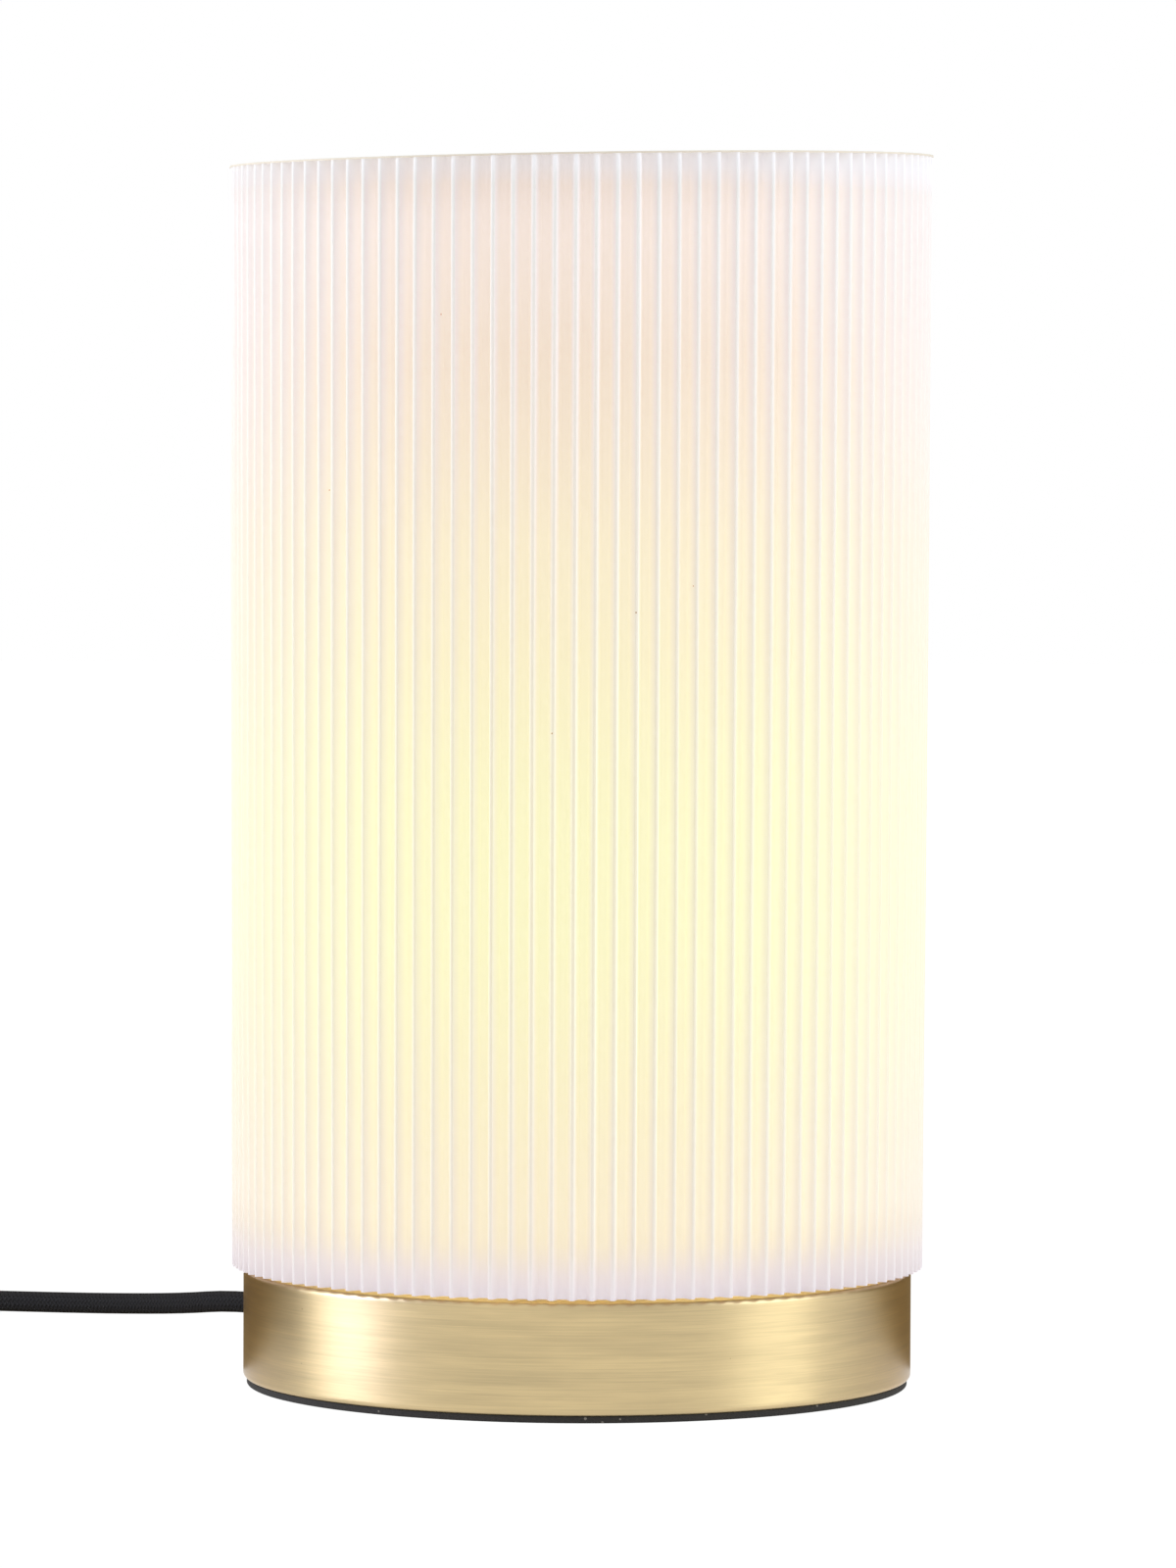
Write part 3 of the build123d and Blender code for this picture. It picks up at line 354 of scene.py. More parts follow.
# %% [markdown]
# Every finish on the lamp starts from one Principled shader. These helpers make it, place a shared
# effect in its tree, and tint or mix colours, so that each material below reads as a short recipe.


# %% Helpers for materials
def new_material(name):
    """A node material with only a Principled shader, as (material, tree, shader)."""
    material = bpy.data.materials.new(name)
    material.use_nodes = True
    tree = material.node_tree
    return material, tree, tree.nodes["Principled BSDF"]


def use(tree, group, **inputs):
    """A shared effect placed in a material with its own values."""
    made = add(tree, "ShaderNodeGroup", node_tree=group)
    for name, value in inputs.items():
        put(tree, made.inputs[name], value)
    return made.outputs


def tinted(tree, colour, factor):
    """A colour made lighter or darker by a factor that varies over the surface."""
    made = add(tree, "ShaderNodeVectorMath", operation="SCALE")
    made.inputs[0].default_value = colour
    put(tree, made.inputs["Scale"], factor)
    return made.outputs["Vector"]


def colour_mix(tree, share, first, second):
    """The first colour where share is 0 and the second where it is 1."""
    made = add(tree, "ShaderNodeMix", data_type="RGBA")
    for place, value in ((0, share), (6, first), (7, second)):
        if isinstance(value, tuple):
            value = (*value, 1)
        put(tree, made.inputs[place], value)
    return made.outputs[2]


def bump(tree, shader, height, distance, strength):
    """Fine relief that is too small to model."""
    made = add(tree, "ShaderNodeBump", {"Height": height, "Distance": distance, "Strength": strength})
    put(tree, shader.inputs["Normal"], made.outputs["Normal"])


# %% [markdown]
# The shade is one sheet of paper, pressed into 110 narrow pleats: a narrow crest outside, steep
# flanks, and a wider floor inside. It could be swept or modelled by hand, but the fold follows a
# rule, so a Geometry Nodes tree bends a flat grid: each column of the grid has its place in the fold,
# and each row its height. A little noise keeps the pleats from being machine-perfect.

# %% Pleated sheet as a node tree
FOLD_COLUMNS = 10
pleater = bpy.data.node_groups.new("pleated_sheet", "GeometryNodeTree")
pleater.interface.new_socket("Geometry", in_out="INPUT", socket_type="NodeSocketGeometry")
pleater.interface.new_socket("Geometry", in_out="OUTPUT", socket_type="NodeSocketGeometry")
pleater_inputs = {
    "Pleats": ("NodeSocketInt", 110),
    "Rows": ("NodeSocketInt", 15),
    "Bottom Radius": ("NodeSocketFloat", 0.0989),
    "Top Radius": ("NodeSocketFloat", 0.1),
    "Bottom Height": ("NodeSocketFloat", 0.0342),
    "Top Height": ("NodeSocketFloat", 0.3482),
    "Fold Depth": ("NodeSocketFloat", 0.0035),
    "Crest Width": ("NodeSocketFloat", 0.0011),
    "Floor Width": ("NodeSocketFloat", 0.0024),
    "Fold Softness": ("NodeSocketFloat", 0.00022),
    "First Crest": ("NodeSocketFloat", math.radians(-90.8)),
    "Top Lift": ("NodeSocketFloat", 0.0),
    "Top Slant X": ("NodeSocketFloat", 0.0),
    "Top Slant Y": ("NodeSocketFloat", 0.0),
    "Uneven Spacing": ("NodeSocketFloat", 0.0002),
    "Uneven Depth": ("NodeSocketFloat", 0.0004),
    "Paper": ("NodeSocketMaterial", None),
}
for label, (kind, start) in pleater_inputs.items():
    socket = pleater.interface.new_socket(label, in_out="INPUT", socket_type=kind)
    if start is not None:
        socket.default_value = start
sized = add(pleater, "NodeGroupInput").outputs


def sheet_calc(operation, *values):
    """One Math node in the sheet's own tree."""
    return calc(pleater, operation, *values)


def share_of(value, low, high):
    """low where value is 0 and high where it is 1."""
    return blend_values(pleater, value, low, high)


def both(operation, *values):
    """The same operation from value to value, such as a sum of three."""
    total = values[0]
    for value in values[1:]:
        total = sheet_calc(operation, total, value)
    return total


def picked_by(index, items):
    """The item of a list with that index."""
    made = add(pleater, "GeometryNodeIndexSwitch", data_type="FLOAT")
    while len(made.index_switch_items) < len(items):
        made.index_switch_items.new()
    put(pleater, made.inputs["Index"], index)
    for count, item in enumerate(items):
        put(pleater, made.inputs[count + 1], item)
    return made.outputs[0]


columns = sheet_calc("MULTIPLY", sized["Pleats"], FOLD_COLUMNS)
grid = add(pleater, "GeometryNodeMeshGrid", {
    "Size X": 1.0,
    "Size Y": 1.0,
    "Vertices X": sheet_calc("ADD", columns, 1.0),
    "Vertices Y": sized["Rows"],
})
flat_place = add(pleater, "GeometryNodeInputPosition").outputs[0]
flat = add(pleater, "ShaderNodeSeparateXYZ", {"Vector": flat_place}).outputs
column = sheet_calc("ROUND", sheet_calc("MULTIPLY", sheet_calc("ADD", flat["X"], 0.5), columns))
rise = sheet_calc("ADD", flat["Y"], 0.5)
pleat = sheet_calc("FLOOR", sheet_calc("DIVIDE", column, FOLD_COLUMNS))
in_fold = both("SUBTRACT", column, sheet_calc("MULTIPLY", pleat, FOLD_COLUMNS), FOLD_COLUMNS / 2)
fold_key = sheet_calc("ABSOLUTE", in_fold)
half_pitch = sheet_calc("DIVIDE", math.pi, sized["Pleats"])
crest_end = sheet_calc("DIVIDE", sheet_calc("MULTIPLY", sized["Crest Width"], 0.5), sized["Top Radius"])
floor_half = sheet_calc("DIVIDE", sheet_calc("MULTIPLY", sized["Floor Width"], 0.5),
                        sheet_calc("SUBTRACT", sized["Top Radius"], sized["Fold Depth"]))
floor_start = sheet_calc("SUBTRACT", half_pitch, floor_half)
softness = sheet_calc("DIVIDE", sized["Fold Softness"], sized["Top Radius"])
bend = sheet_calc("DIVIDE", sized["Fold Softness"], sized["Fold Depth"])
bend_back = sheet_calc("SUBTRACT", 1.0, bend)
turn_in_fold = picked_by(fold_key, [
    0.0,
    sheet_calc("SUBTRACT", crest_end, softness),
    share_of(bend, crest_end, floor_start),
    share_of(bend_back, crest_end, floor_start),
    sheet_calc("ADD", floor_start, softness),
    half_pitch,
])
fold = picked_by(fold_key, [0.0, 0.0, bend, bend_back, 1.0, 1.0])
pitch = sheet_calc("MULTIPLY", half_pitch, 2.0)
crest_turn = sheet_calc("MULTIPLY_ADD", pleat, pitch, sized["First Crest"])
turn = sheet_calc("MULTIPLY_ADD", turn_in_fold, sheet_calc("SIGN", in_fold), crest_turn)
crest_radius = share_of(rise, sized["Bottom Radius"], sized["Top Radius"])
taper = sheet_calc("DIVIDE", crest_radius, sized["Top Radius"])


def uneven(round_scale, up_scale, amount, seed):
    """Smooth noise round the cylinder, of that amount either way."""
    where = add(pleater, "ShaderNodeCombineXYZ", {
        "X": sheet_calc("MULTIPLY", sheet_calc("COSINE", turn), round_scale),
        "Y": sheet_calc("MULTIPLY", sheet_calc("SINE", turn), round_scale),
        "Z": sheet_calc("MULTIPLY_ADD", rise, up_scale, seed),
    }).outputs["Vector"]
    centred = sheet_calc("SUBTRACT", noise(pleater, where, 1.0, 1.0), 0.5)
    return both("MULTIPLY", centred, 2.0, amount)


SPACING_NOISE = {"round_scale": 14.0, "up_scale": 1.2, "seed": 3.0}
DEPTH_NOISE = {"round_scale": 9.0, "up_scale": 2.0, "seed": 11.0}
uneven_turn = sheet_calc("DIVIDE", sized["Uneven Spacing"], 0.1)
shifted_turn = sheet_calc("ADD", turn, uneven(amount=uneven_turn, **SPACING_NOISE))
inward = both("MULTIPLY", fold, sized["Fold Depth"], taper)
folded_radius = sheet_calc("SUBTRACT", crest_radius, inward)
radius = sheet_calc("ADD", folded_radius, uneven(amount=sized["Uneven Depth"], **DEPTH_NOISE))
place_x = sheet_calc("MULTIPLY", sheet_calc("COSINE", shifted_turn), radius)
place_y = sheet_calc("MULTIPLY", sheet_calc("SINE", shifted_turn), radius)
across_x = sheet_calc("DIVIDE", place_x, sized["Top Radius"])
across_y = sheet_calc("DIVIDE", place_y, sized["Top Radius"])
top_slant = sheet_calc("ADD", sheet_calc("MULTIPLY", sized["Top Slant X"], across_x),
                       sheet_calc("MULTIPLY", sized["Top Slant Y"], across_y))
top_edge = both("ADD", sized["Top Height"], sized["Top Lift"], top_slant)
marked = add(pleater, "GeometryNodeStoreNamedAttribute", {
    "Geometry": grid.outputs["Mesh"], "Name": "fold", "Value": fold,
}, data_type="FLOAT", domain="POINT")
bent = add(pleater, "GeometryNodeSetPosition", {
    "Geometry": marked.outputs["Geometry"],
    "Position": add(pleater, "ShaderNodeCombineXYZ", {
        "X": place_x, "Y": place_y, "Z": share_of(rise, sized["Bottom Height"], top_edge),
    }).outputs["Vector"],
})
closed = add(pleater, "GeometryNodeMergeByDistance", {
    "Geometry": bent.outputs["Geometry"], "Distance": 0.00001,
})
smooth = add(pleater, "GeometryNodeSetShadeSmooth", {"Geometry": closed.outputs["Geometry"]})
whole = add(pleater, "GeometryNodeRealizeInstances", {"Geometry": smooth.outputs["Geometry"]})
papered = add(pleater, "GeometryNodeSetMaterial", {
    "Geometry": whole.outputs["Geometry"], "Material": sized["Paper"],
})
put(pleater, add(pleater, "NodeGroupOutput").inputs["Geometry"], papered.outputs["Geometry"])
print("pleated sheet tree:", len(pleater.nodes), "nodes")

# %% [markdown]
# The lamp is lit, and the paper lets the light through. How bright a spot glows follows from where the
# bulb stands: light on the wall of a cylinder falls off with the square of the distance and with the
# slant, and light scattered inside adds an even share. The floors of the folds lie nearest the bulb
# and flat to it, so they glow most; the narrow crests glow least and stay cool white in the daylight.
# At both edges the hem and the wire ring shade the paper, so a group output marks each edge.

# %% Lit paper
bulb_low, bulb_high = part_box("bulb_diffuser")
shade_low, shade_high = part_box("pleated_shade")
BULB_HEIGHT = (bulb_low.z + bulb_high.z) / 2
SHADE_RADIUS = shade_high.x
GLOW_SCATTER = 0.14
GLOW_FALLOFF = 1.6
BOTTOM_HEM = 0.017
TOP_HEM = 0.010
BELOW_EDGE = 0.002
FLOOR_BLEND = (0.10, 0.90)
CREST_BLEND = (0.06, 0.0)
CREST_GLOW = [
    (0.22, (0.20, 0.18, 0.15)),
    (0.28, (0.22, 0.16, 0.10)),
    (0.45, (0.22, 0.15, 0.05)),
    (0.98, (0.24, 0.17, 0.0)),
]
FLANK_GLOW = [
    (0.22, (0.27, 0.20, 0.18)),
    (0.28, (0.29, 0.205, 0.17)),
    (0.45, (0.31, 0.22, 0.12)),
    (0.98, (0.34, 0.29, 0.12)),
]
FLOOR_GLOW = [
    (0.22, (0.33, 0.24, 0.18)),
    (0.28, (0.31, 0.21, 0.11)),
    (0.45, (0.35, 0.275, 0.12)),
    (0.65, (0.355, 0.295, 0.11)),
    (0.98, (0.36, 0.335, 0.115)),
]
BOTTOM_HEM_GLOW = (0.31, 0.25, 0.30)
TOP_HEM_GLOW = (0.33, 0.32, 0.35)
# Painted shade: the paper in the folds is painted darker than on the crests.
PAPER_WHITES_SHADED_IN_FOLDS = [(0.0, (0.78, 0.78, 0.79)), (1.0, (0.82, 0.82, 0.83))]
# Painted light: the paper's own colour is painted warmer where the bulb's glow is strong.
PAINTED_GLOW_TINT = [(0.1, (1.0, 1.0, 1.0)), (0.95, (1.0, 1.0, 0.94))]
FLECK_BROWN = (0.42, 0.36, 0.30)

glow, given, result = effect("bulb_glow", [("Bulb Height", BULB_HEIGHT)], ["Glow", "Bottom Hem", "Top Hem"])
height = add(glow, "ShaderNodeSeparateXYZ", {"Vector": place_of(glow)}).outputs["Z"]
away = calc(glow, "DIVIDE", calc(glow, "SUBTRACT", height, given["Bulb Height"]), SHADE_RADIUS)
nearness = calc(glow, "DIVIDE", 1.0, calc(glow, "MULTIPLY_ADD", away, away, 1.0))
falloff = calc(glow, "POWER", nearness, GLOW_FALLOFF)
put(glow, result["Glow"], calc(glow, "MULTIPLY_ADD", falloff, 1 - GLOW_SCATTER, GLOW_SCATTER))
put(glow, result["Bottom Hem"], fade(glow, height, shade_low.z + BOTTOM_HEM, shade_low.z - BELOW_EDGE))
put(glow, result["Top Hem"], fade(glow, height, shade_high.z - TOP_HEM, shade_high.z))


def scaled(tree, colour, factor):
    """A colour that comes from other nodes, made lighter or darker by a factor."""
    made = add(tree, "ShaderNodeVectorMath", {0: colour, "Scale": factor}, operation="SCALE")
    return made.outputs["Vector"]


def lit_paper():
    """Translucent paper: its own white, painted a little darker in the folds than on the crests and painted
    warmer where the glow is strong, and the painted glow of the bulb behind it.
    """
    material, tree, shader = new_material("lit_pleated_paper")
    lit = use(tree, glow)
    fold_place = add(tree, "ShaderNodeAttribute", attribute_name="fold").outputs["Fac"]
    on_floor = fade(tree, fold_place, *FLOOR_BLEND)
    on_crest = fade(tree, fold_place, *CREST_BLEND)
    cloud = use(tree, clouding, Scale=420.0, Strength=0.05)["Shade"]
    fibre = use(tree, clouding, Scale=2600.0, Strength=0.05)["Shade"]
    fleck = use(tree, specks, Scale=130.0, Size=0.035, Share=0.05)["Mask"]
    paper_tone = calc(tree, "MULTIPLY", cloud, fibre)
    # Base colour with painted shade in the folds and a painted warm tint from the glow.
    paper = add(tree, "ShaderNodeVectorMath", {
        0: ramp(tree, on_crest, PAPER_WHITES_SHADED_IN_FOLDS),
        1: ramp(tree, lit["Glow"], PAINTED_GLOW_TINT),
    }, operation="MULTIPLY").outputs["Vector"]
    toned = scaled(tree, paper, paper_tone)
    put(tree, shader.inputs["Base Color"], colour_mix(tree, fleck, toned, FLECK_BROWN))
    crest, flank, floor = (ramp(tree, lit["Glow"], stops) for stops in (CREST_GLOW, FLANK_GLOW, FLOOR_GLOW))
    glowing = colour_mix(tree, on_crest, colour_mix(tree, on_floor, flank, floor), crest)
    glowing = colour_mix(tree, lit["Bottom Hem"], glowing, BOTTOM_HEM_GLOW)
    glowing = colour_mix(tree, lit["Top Hem"], glowing, TOP_HEM_GLOW)
    put(tree, shader.inputs["Emission Color"], scaled(tree, glowing, paper_tone))
    shader.inputs["Emission Strength"].default_value = 1.0
    shader.inputs["Roughness"].default_value = 0.85
    shader.inputs["Specular IOR Level"].default_value = 0.25
    bump(tree, shader, calc(tree, "ADD", cloud, fibre), 0.0003, 0.35)
    return material


# %% [markdown]
# Now the sheet is folded on an empty object, and only then gets its thickness, inwards, so that the
# crests keep their place. The real shade is not quite level: its rim stands up to three millimetres
# too high, which a small lift and two slants repeat.

# %% Shade
SHADE_SLANTS = {"Top Lift": 0.0006, "Top Slant X": 0.0019, "Top Slant Y": 0.0015}
PAPER_THICKNESS = 0.00035

shade = link_object(bpy.data.objects.new("pleated_paper", bpy.data.meshes.new("pleated_paper")))
pleating = shade.modifiers.new("pleating", "NODES")
pleating.node_group = pleater
shade_inputs = {
    "Bottom Height": shade_low.z,
    "Top Height": shade_high.z,
    "Top Radius": SHADE_RADIUS,
    "Paper": lit_paper(),
    **SHADE_SLANTS,
}
for item in pleater.interface.items_tree:
    if item.in_out == "INPUT" and item.name in shade_inputs:
        pleating[item.identifier] = shade_inputs[item.name]
thickness = shade.modifiers.new("thickness", "SOLIDIFY")
thickness.thickness = PAPER_THICKNESS
thickness.offset = -1
shade = baked(shade, "pleated_paper")
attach(shade, "shade")
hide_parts("pleated_shade")
print("shade", len(shade.data.polygons), "faces")

# %% [markdown]
# Round pieces are turned, like on a lathe: a closed outline of radii and heights is carried once
# round the axis. Many short steps keep the metal's reflections smooth.


# %% Turned pieces
def corner_arc(middle, radius, start, end, steps=6):
    """Points (radius, height) of a rounded edge, from one angle to another, in degrees."""
    angles = [math.radians(start + (end - start) * step / steps) for step in range(steps + 1)]
    return [(middle[0] + radius * math.cos(a), middle[1] + radius * math.sin(a)) for a in angles]


def turned(name, outline, steps=320):
    """A closed ring from an outline that runs anticlockwise in (radius, height)."""
    verts, faces = [], []
    count = len(outline)
    for step in range(steps):
        angle = 2 * math.pi * step / steps
        verts += [(r * math.cos(angle), r * math.sin(angle), z) for r, z in outline]
    for step in range(steps):
        after = (step + 1) % steps
        for k in range(count):
            n = (k + 1) % count
            faces.append((step * count + k, after * count + k, after * count + n, step * count + n))
    made = object_of(name, verts, faces)
    made.data.shade_smooth()
    made.data.set_sharp_from_angle(angle=math.radians(30))
    return made


def finish_piece(piece, material, body, slot, *stands_for):
    """Gives a piece its material and its body, and hides the CAD nodes it stands for. The slot is not used.
    """
    piece.data.materials.clear()
    piece.data.materials.append(material)
    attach(piece, body)
    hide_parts(*stands_for)
    print(piece.name, len(piece.data.polygons), "faces")


# %% [markdown]
# A thin card ring is glued on the upper edges of the pleats. It follows the slight slant of the paper.


# %% Card hem
CARD_CREAM = (0.80, 0.75, 0.65)
GLOW_THROUGH_CARD = (0.9, 0.62, 0.36)


def hem_card():
    """Cream card, a little warmed by the bulb below it."""
    material, tree, shader = new_material("hem_card")
    tone = calc(tree, "MULTIPLY", use(tree, clouding, Scale=500.0, Strength=0.12)["Shade"],
                use(tree, clouding, Scale=3000.0, Strength=0.10)["Shade"])
    put(tree, shader.inputs["Base Color"], tinted(tree, CARD_CREAM, tone))
    shader.inputs["Emission Color"].default_value = (*GLOW_THROUGH_CARD, 1)
    shader.inputs["Emission Strength"].default_value = 0.10
    shader.inputs["Roughness"].default_value = 0.8
    bump(tree, shader, tone, 0.0002, 0.5)
    return material


RING_WIDTH = 0.00425
EDGE = 0.0001
ring_low, ring_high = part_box("top_hem_ring")
outer, inner = ring_high.x, ring_high.x - RING_WIDTH
hem = turned("card_hem", [
    (inner, ring_low.z),
    (outer, ring_low.z),
    *corner_arc((outer - EDGE, ring_high.z - EDGE), EDGE, 0, 90, 3),
    *corner_arc((inner + EDGE, ring_high.z - EDGE), EDGE, 90, 180, 3),
])
for vertex in hem.data.vertices:
    vertex.co.z += SHADE_SLANTS["Top Lift"]
    vertex.co.z += SHADE_SLANTS["Top Slant X"] * vertex.co.x / SHADE_RADIUS
    vertex.co.z += SHADE_SLANTS["Top Slant Y"] * vertex.co.y / SHADE_RADIUS
finish_piece(hem, hem_card(), "shade", "hem_card", "top_hem_ring")

# %% [markdown]
# The drum is spun brass, brushed on the lathe and lacquered. The fine lines run round it, and because
# light spreads across such lines, its highlights are tall bands. An anisotropic shader with its
# tangent turned a quarter does the same; the lines themselves are noise, stretched round the axis.
# The drum's edges are rounded by arcs, and a short flat step next to each arc keeps the smooth
# shading of the arc off the straight wall.


# %% Satin brass
BRASS = (0.57, 0.435, 0.21)
BRASS_AT_THE_EDGES = (0.72, 0.55, 0.33)
BRASS_SPOTS = (0.30, 0.20, 0.09)


def satin_brass():
    """Brushed and lacquered: an anisotropic metal under a clear coat."""
    material, tree, shader = new_material("satin_brass")
    lines = use(tree, brushed, Along=24.0, Across=2300.0)
    haze = use(tree, clouding, Scale=34.0, Strength=0.16)["Shade"]
    spots = use(tree, specks, Scale=260.0, Size=0.055, Share=0.06)["Mask"]
    shading = calc(tree, "MULTIPLY", blend_values(tree, lines["Patches"], 0.76, 1.24),
                   blend_values(tree, lines["Lines"], 0.70, 1.27))
    metal = tinted(tree, BRASS, calc(tree, "MULTIPLY", shading, haze))
    put(tree, shader.inputs["Base Color"], colour_mix(tree, spots, metal, BRASS_SPOTS))
    shader.inputs["Metallic"].default_value = 1.0
    put(tree, shader.inputs["Roughness"], blend_values(tree, lines["Lines"], 0.30, 0.46))
    shader.inputs["Specular Tint"].default_value = (*BRASS_AT_THE_EDGES, 1)
    shader.inputs["Coat Weight"].default_value = 1.0
    shader.inputs["Coat Roughness"].default_value = 0.3
    shader.inputs["Coat IOR"].default_value = 1.65
    shader.inputs["Anisotropic"].default_value = 0.7
    shader.inputs["Anisotropic Rotation"].default_value = 0.25
    round_way = add(tree, "ShaderNodeTangent", direction_type="RADIAL", axis="Z").outputs[0]
    put(tree, shader.inputs["Tangent"], round_way)
    bump(tree, shader, lines["Lines"], 0.00002, 0.5)
    return material


# %% Brass drum
WALL = 0.0015
EDGE_RADIUS = 0.0014
NIPPLE_HOLE = 0.00505
FLAT_START = 0.0003
CORD_HOLE_RADIUS = 0.0047
DRILL_LENGTH = 0.02
DRUM_STEPS = 400
cover_low, cover_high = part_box("base_cover")
cover_radius = cover_high.x
drum = turned("brass_drum", [
    *corner_arc((cover_radius - EDGE_RADIUS, cover_low.z + EDGE_RADIUS), EDGE_RADIUS, -90, 0),
    (cover_radius, cover_low.z + EDGE_RADIUS + FLAT_START),
    (cover_radius, cover_high.z - EDGE_RADIUS - FLAT_START),
    *corner_arc((cover_radius - EDGE_RADIUS, cover_high.z - EDGE_RADIUS), EDGE_RADIUS, 0, 90),
    (cover_radius - EDGE_RADIUS - FLAT_START, cover_high.z),
    (NIPPLE_HOLE, cover_high.z),
    (NIPPLE_HOLE, cover_high.z - WALL),
    (cover_radius - WALL, cover_high.z - WALL),
    (cover_radius - WALL, cover_low.z),
], DRUM_STEPS)
exit_way = Vector((cord_exit[0], cord_exit[1], 0)).normalized()
bpy.ops.mesh.primitive_cylinder_add(vertices=48, radius=CORD_HOLE_RADIUS, depth=DRILL_LENGTH)
drill = bpy.context.object
drill.rotation_euler = exit_way.to_track_quat("Z", "Y").to_euler()
drill.location = exit_way * cover_radius + Vector((0, 0, cord_exit[2]))
hole = drum.modifiers.new("cord_hole", "BOOLEAN")
hole.object = drill
hole.operation = "DIFFERENCE"
drum = baked(drum, "brass_drum")
bpy.data.objects.remove(drill)
finish_piece(drum, satin_brass(), "base", "satin_brass", "base_cover")

# %% [markdown]
# The foam pad under the drum shows as a thin black line with lint caught on it.


# %% Foam pad
def black_foam():
    """Open pores, and pale lint in some of them."""
    material, tree, shader = new_material("black_foam")
    pores = use(tree, clouding, Scale=1800.0, Strength=0.9)["Shade"]
    lint = use(tree, specks, Scale=420.0, Size=0.16, Share=0.10)["Mask"]
    foam = tinted(tree, (0.030, 0.027, 0.024), pores)
    put(tree, shader.inputs["Base Color"], colour_mix(tree, lint, foam, (0.24, 0.22, 0.19)))
    shader.inputs["Roughness"].default_value = 0.9
    bump(tree, shader, pores, 0.0004, 0.6)
    return material


PAD_EDGE = 0.0005
PAD_STEPS = 240
AT_THE_AXIS = 0.0001
pad_low, pad_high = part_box("base_pad")
pad_radius = pad_high.x
pad = turned("foam_pad", [
    (AT_THE_AXIS, pad_low.z),
    *corner_arc((pad_radius - PAD_EDGE, pad_low.z + PAD_EDGE), PAD_EDGE, -90, 0, 4),
    *corner_arc((pad_radius - PAD_EDGE, pad_high.z - PAD_EDGE), PAD_EDGE, 0, 90, 4),
    (AT_THE_AXIS, pad_high.z),
], PAD_STEPS)
finish_piece(pad, black_foam(), "base", "foam_pad", "base_pad")

# %% [markdown]
# The braid: two sets of threads run round the sleeve in opposite spirals and pass over and under each
# other. Each cell of a diagonal checker shows one set, as a small raised bar along that thread; the
# bar is painted lighter in its middle and darker at its ends, a painted highlight and painted shade.


# %% Braided sleeve
THREADS = 12.0
BLACK_THREAD = (0.020, 0.019, 0.020)


def braid():
    """Black textile sleeve, drawn on the tube's UV map."""
    material, tree, shader = new_material("braided_sleeve")
    along = add(tree, "ShaderNodeUVMap", uv_map="along").outputs[0]
    where = add(tree, "ShaderNodeSeparateXYZ", {"Vector": along}).outputs
    round_way, along_way = (calc(tree, "MULTIPLY", where[axis], THREADS) for axis in "XY")
    spirals = [calc(tree, operation, round_way, along_way) for operation in ("ADD", "SUBTRACT")]
    cell = calc(tree, "ADD", *(calc(tree, "FLOOR", spiral) for spiral in spirals))
    bars = [
        calc(tree, "SINE", calc(tree, "MULTIPLY", calc(tree, "FRACT", spiral), math.pi))
        for spiral in spirals
    ]
    thread = blend_values(tree, calc(tree, "FLOORED_MODULO", cell, 2.0), *bars)
    fluff = use(tree, clouding, Scale=5000.0, Strength=0.8)["Shade"]
    # Painted highlight and shade: each bar is lighter in its middle and darker at its ends.
    tone = calc(tree, "MULTIPLY", blend_values(tree, thread, 0.35, 1.0), fluff)
    put(tree, shader.inputs["Base Color"], tinted(tree, BLACK_THREAD, tone))
    shader.inputs["Roughness"].default_value = 0.85
    shader.inputs["Specular IOR Level"].default_value = 0.2
    bump(tree, shader, calc(tree, "MULTIPLY_ADD", fluff, 0.15, thread), 0.00035, 0.8)
    return material


braided_sleeve = braid()
cord.data.materials.append(braided_sleeve)
print("braid:", len(braided_sleeve.node_tree.nodes), "nodes")

# %% [markdown]
# The remaining pieces keep their CAD shapes. Each gets the finish of its real material from one of
# a few families: moulded plastic, plated or bare metal, and the bulb's opal plastic.


# %% Families of finishes
def moulded(name, colour, roughness, grain=0.00004, cloud=0.06, coat=0.0):
    """Moulded plastic with a fine spark-eroded grain."""
    material, tree, shader = new_material(name)
    shade_of = use(tree, clouding, Scale=60.0, Strength=cloud)["Shade"]
    texture = use(tree, clouding, Scale=2400.0, Strength=1.0)["Shade"]
    put(tree, shader.inputs["Base Color"], tinted(tree, colour, shade_of))
    put(tree, shader.inputs["Roughness"], calc(tree, "MULTIPLY", texture, roughness))
    shader.inputs["Coat Weight"].default_value = coat
    bump(tree, shader, texture, grain, 0.6)
    return material


def metal(name, colour, roughness, mottle=0.25, scale=300.0):
    """Plated or cast metal with a slightly uneven surface."""
    material, tree, shader = new_material(name)
    patches = use(tree, clouding, Scale=scale, Strength=mottle)["Shade"]
    fine = use(tree, clouding, Scale=scale * 8, Strength=0.4)["Shade"]
    put(tree, shader.inputs["Base Color"], tinted(tree, colour, patches))
    shader.inputs["Metallic"].default_value = 1.0
    put(tree, shader.inputs["Roughness"], calc(tree, "MULTIPLY", fine, roughness))
    bump(tree, shader, fine, 0.00003, 0.4)
    return material


def opal():
    """Opal plastic, lit from inside."""
    material, tree, shader = new_material("opal_bulb")
    cloud = use(tree, clouding, Scale=90.0, Strength=0.05)["Shade"]
    put(tree, shader.inputs["Base Color"], tinted(tree, (0.93, 0.90, 0.84), cloud))
    put(tree, shader.inputs["Emission Color"], tinted(tree, (1.0, 0.78, 0.46), cloud))
    shader.inputs["Emission Strength"].default_value = 5.0
    shader.inputs["Roughness"].default_value = 0.35
    return material


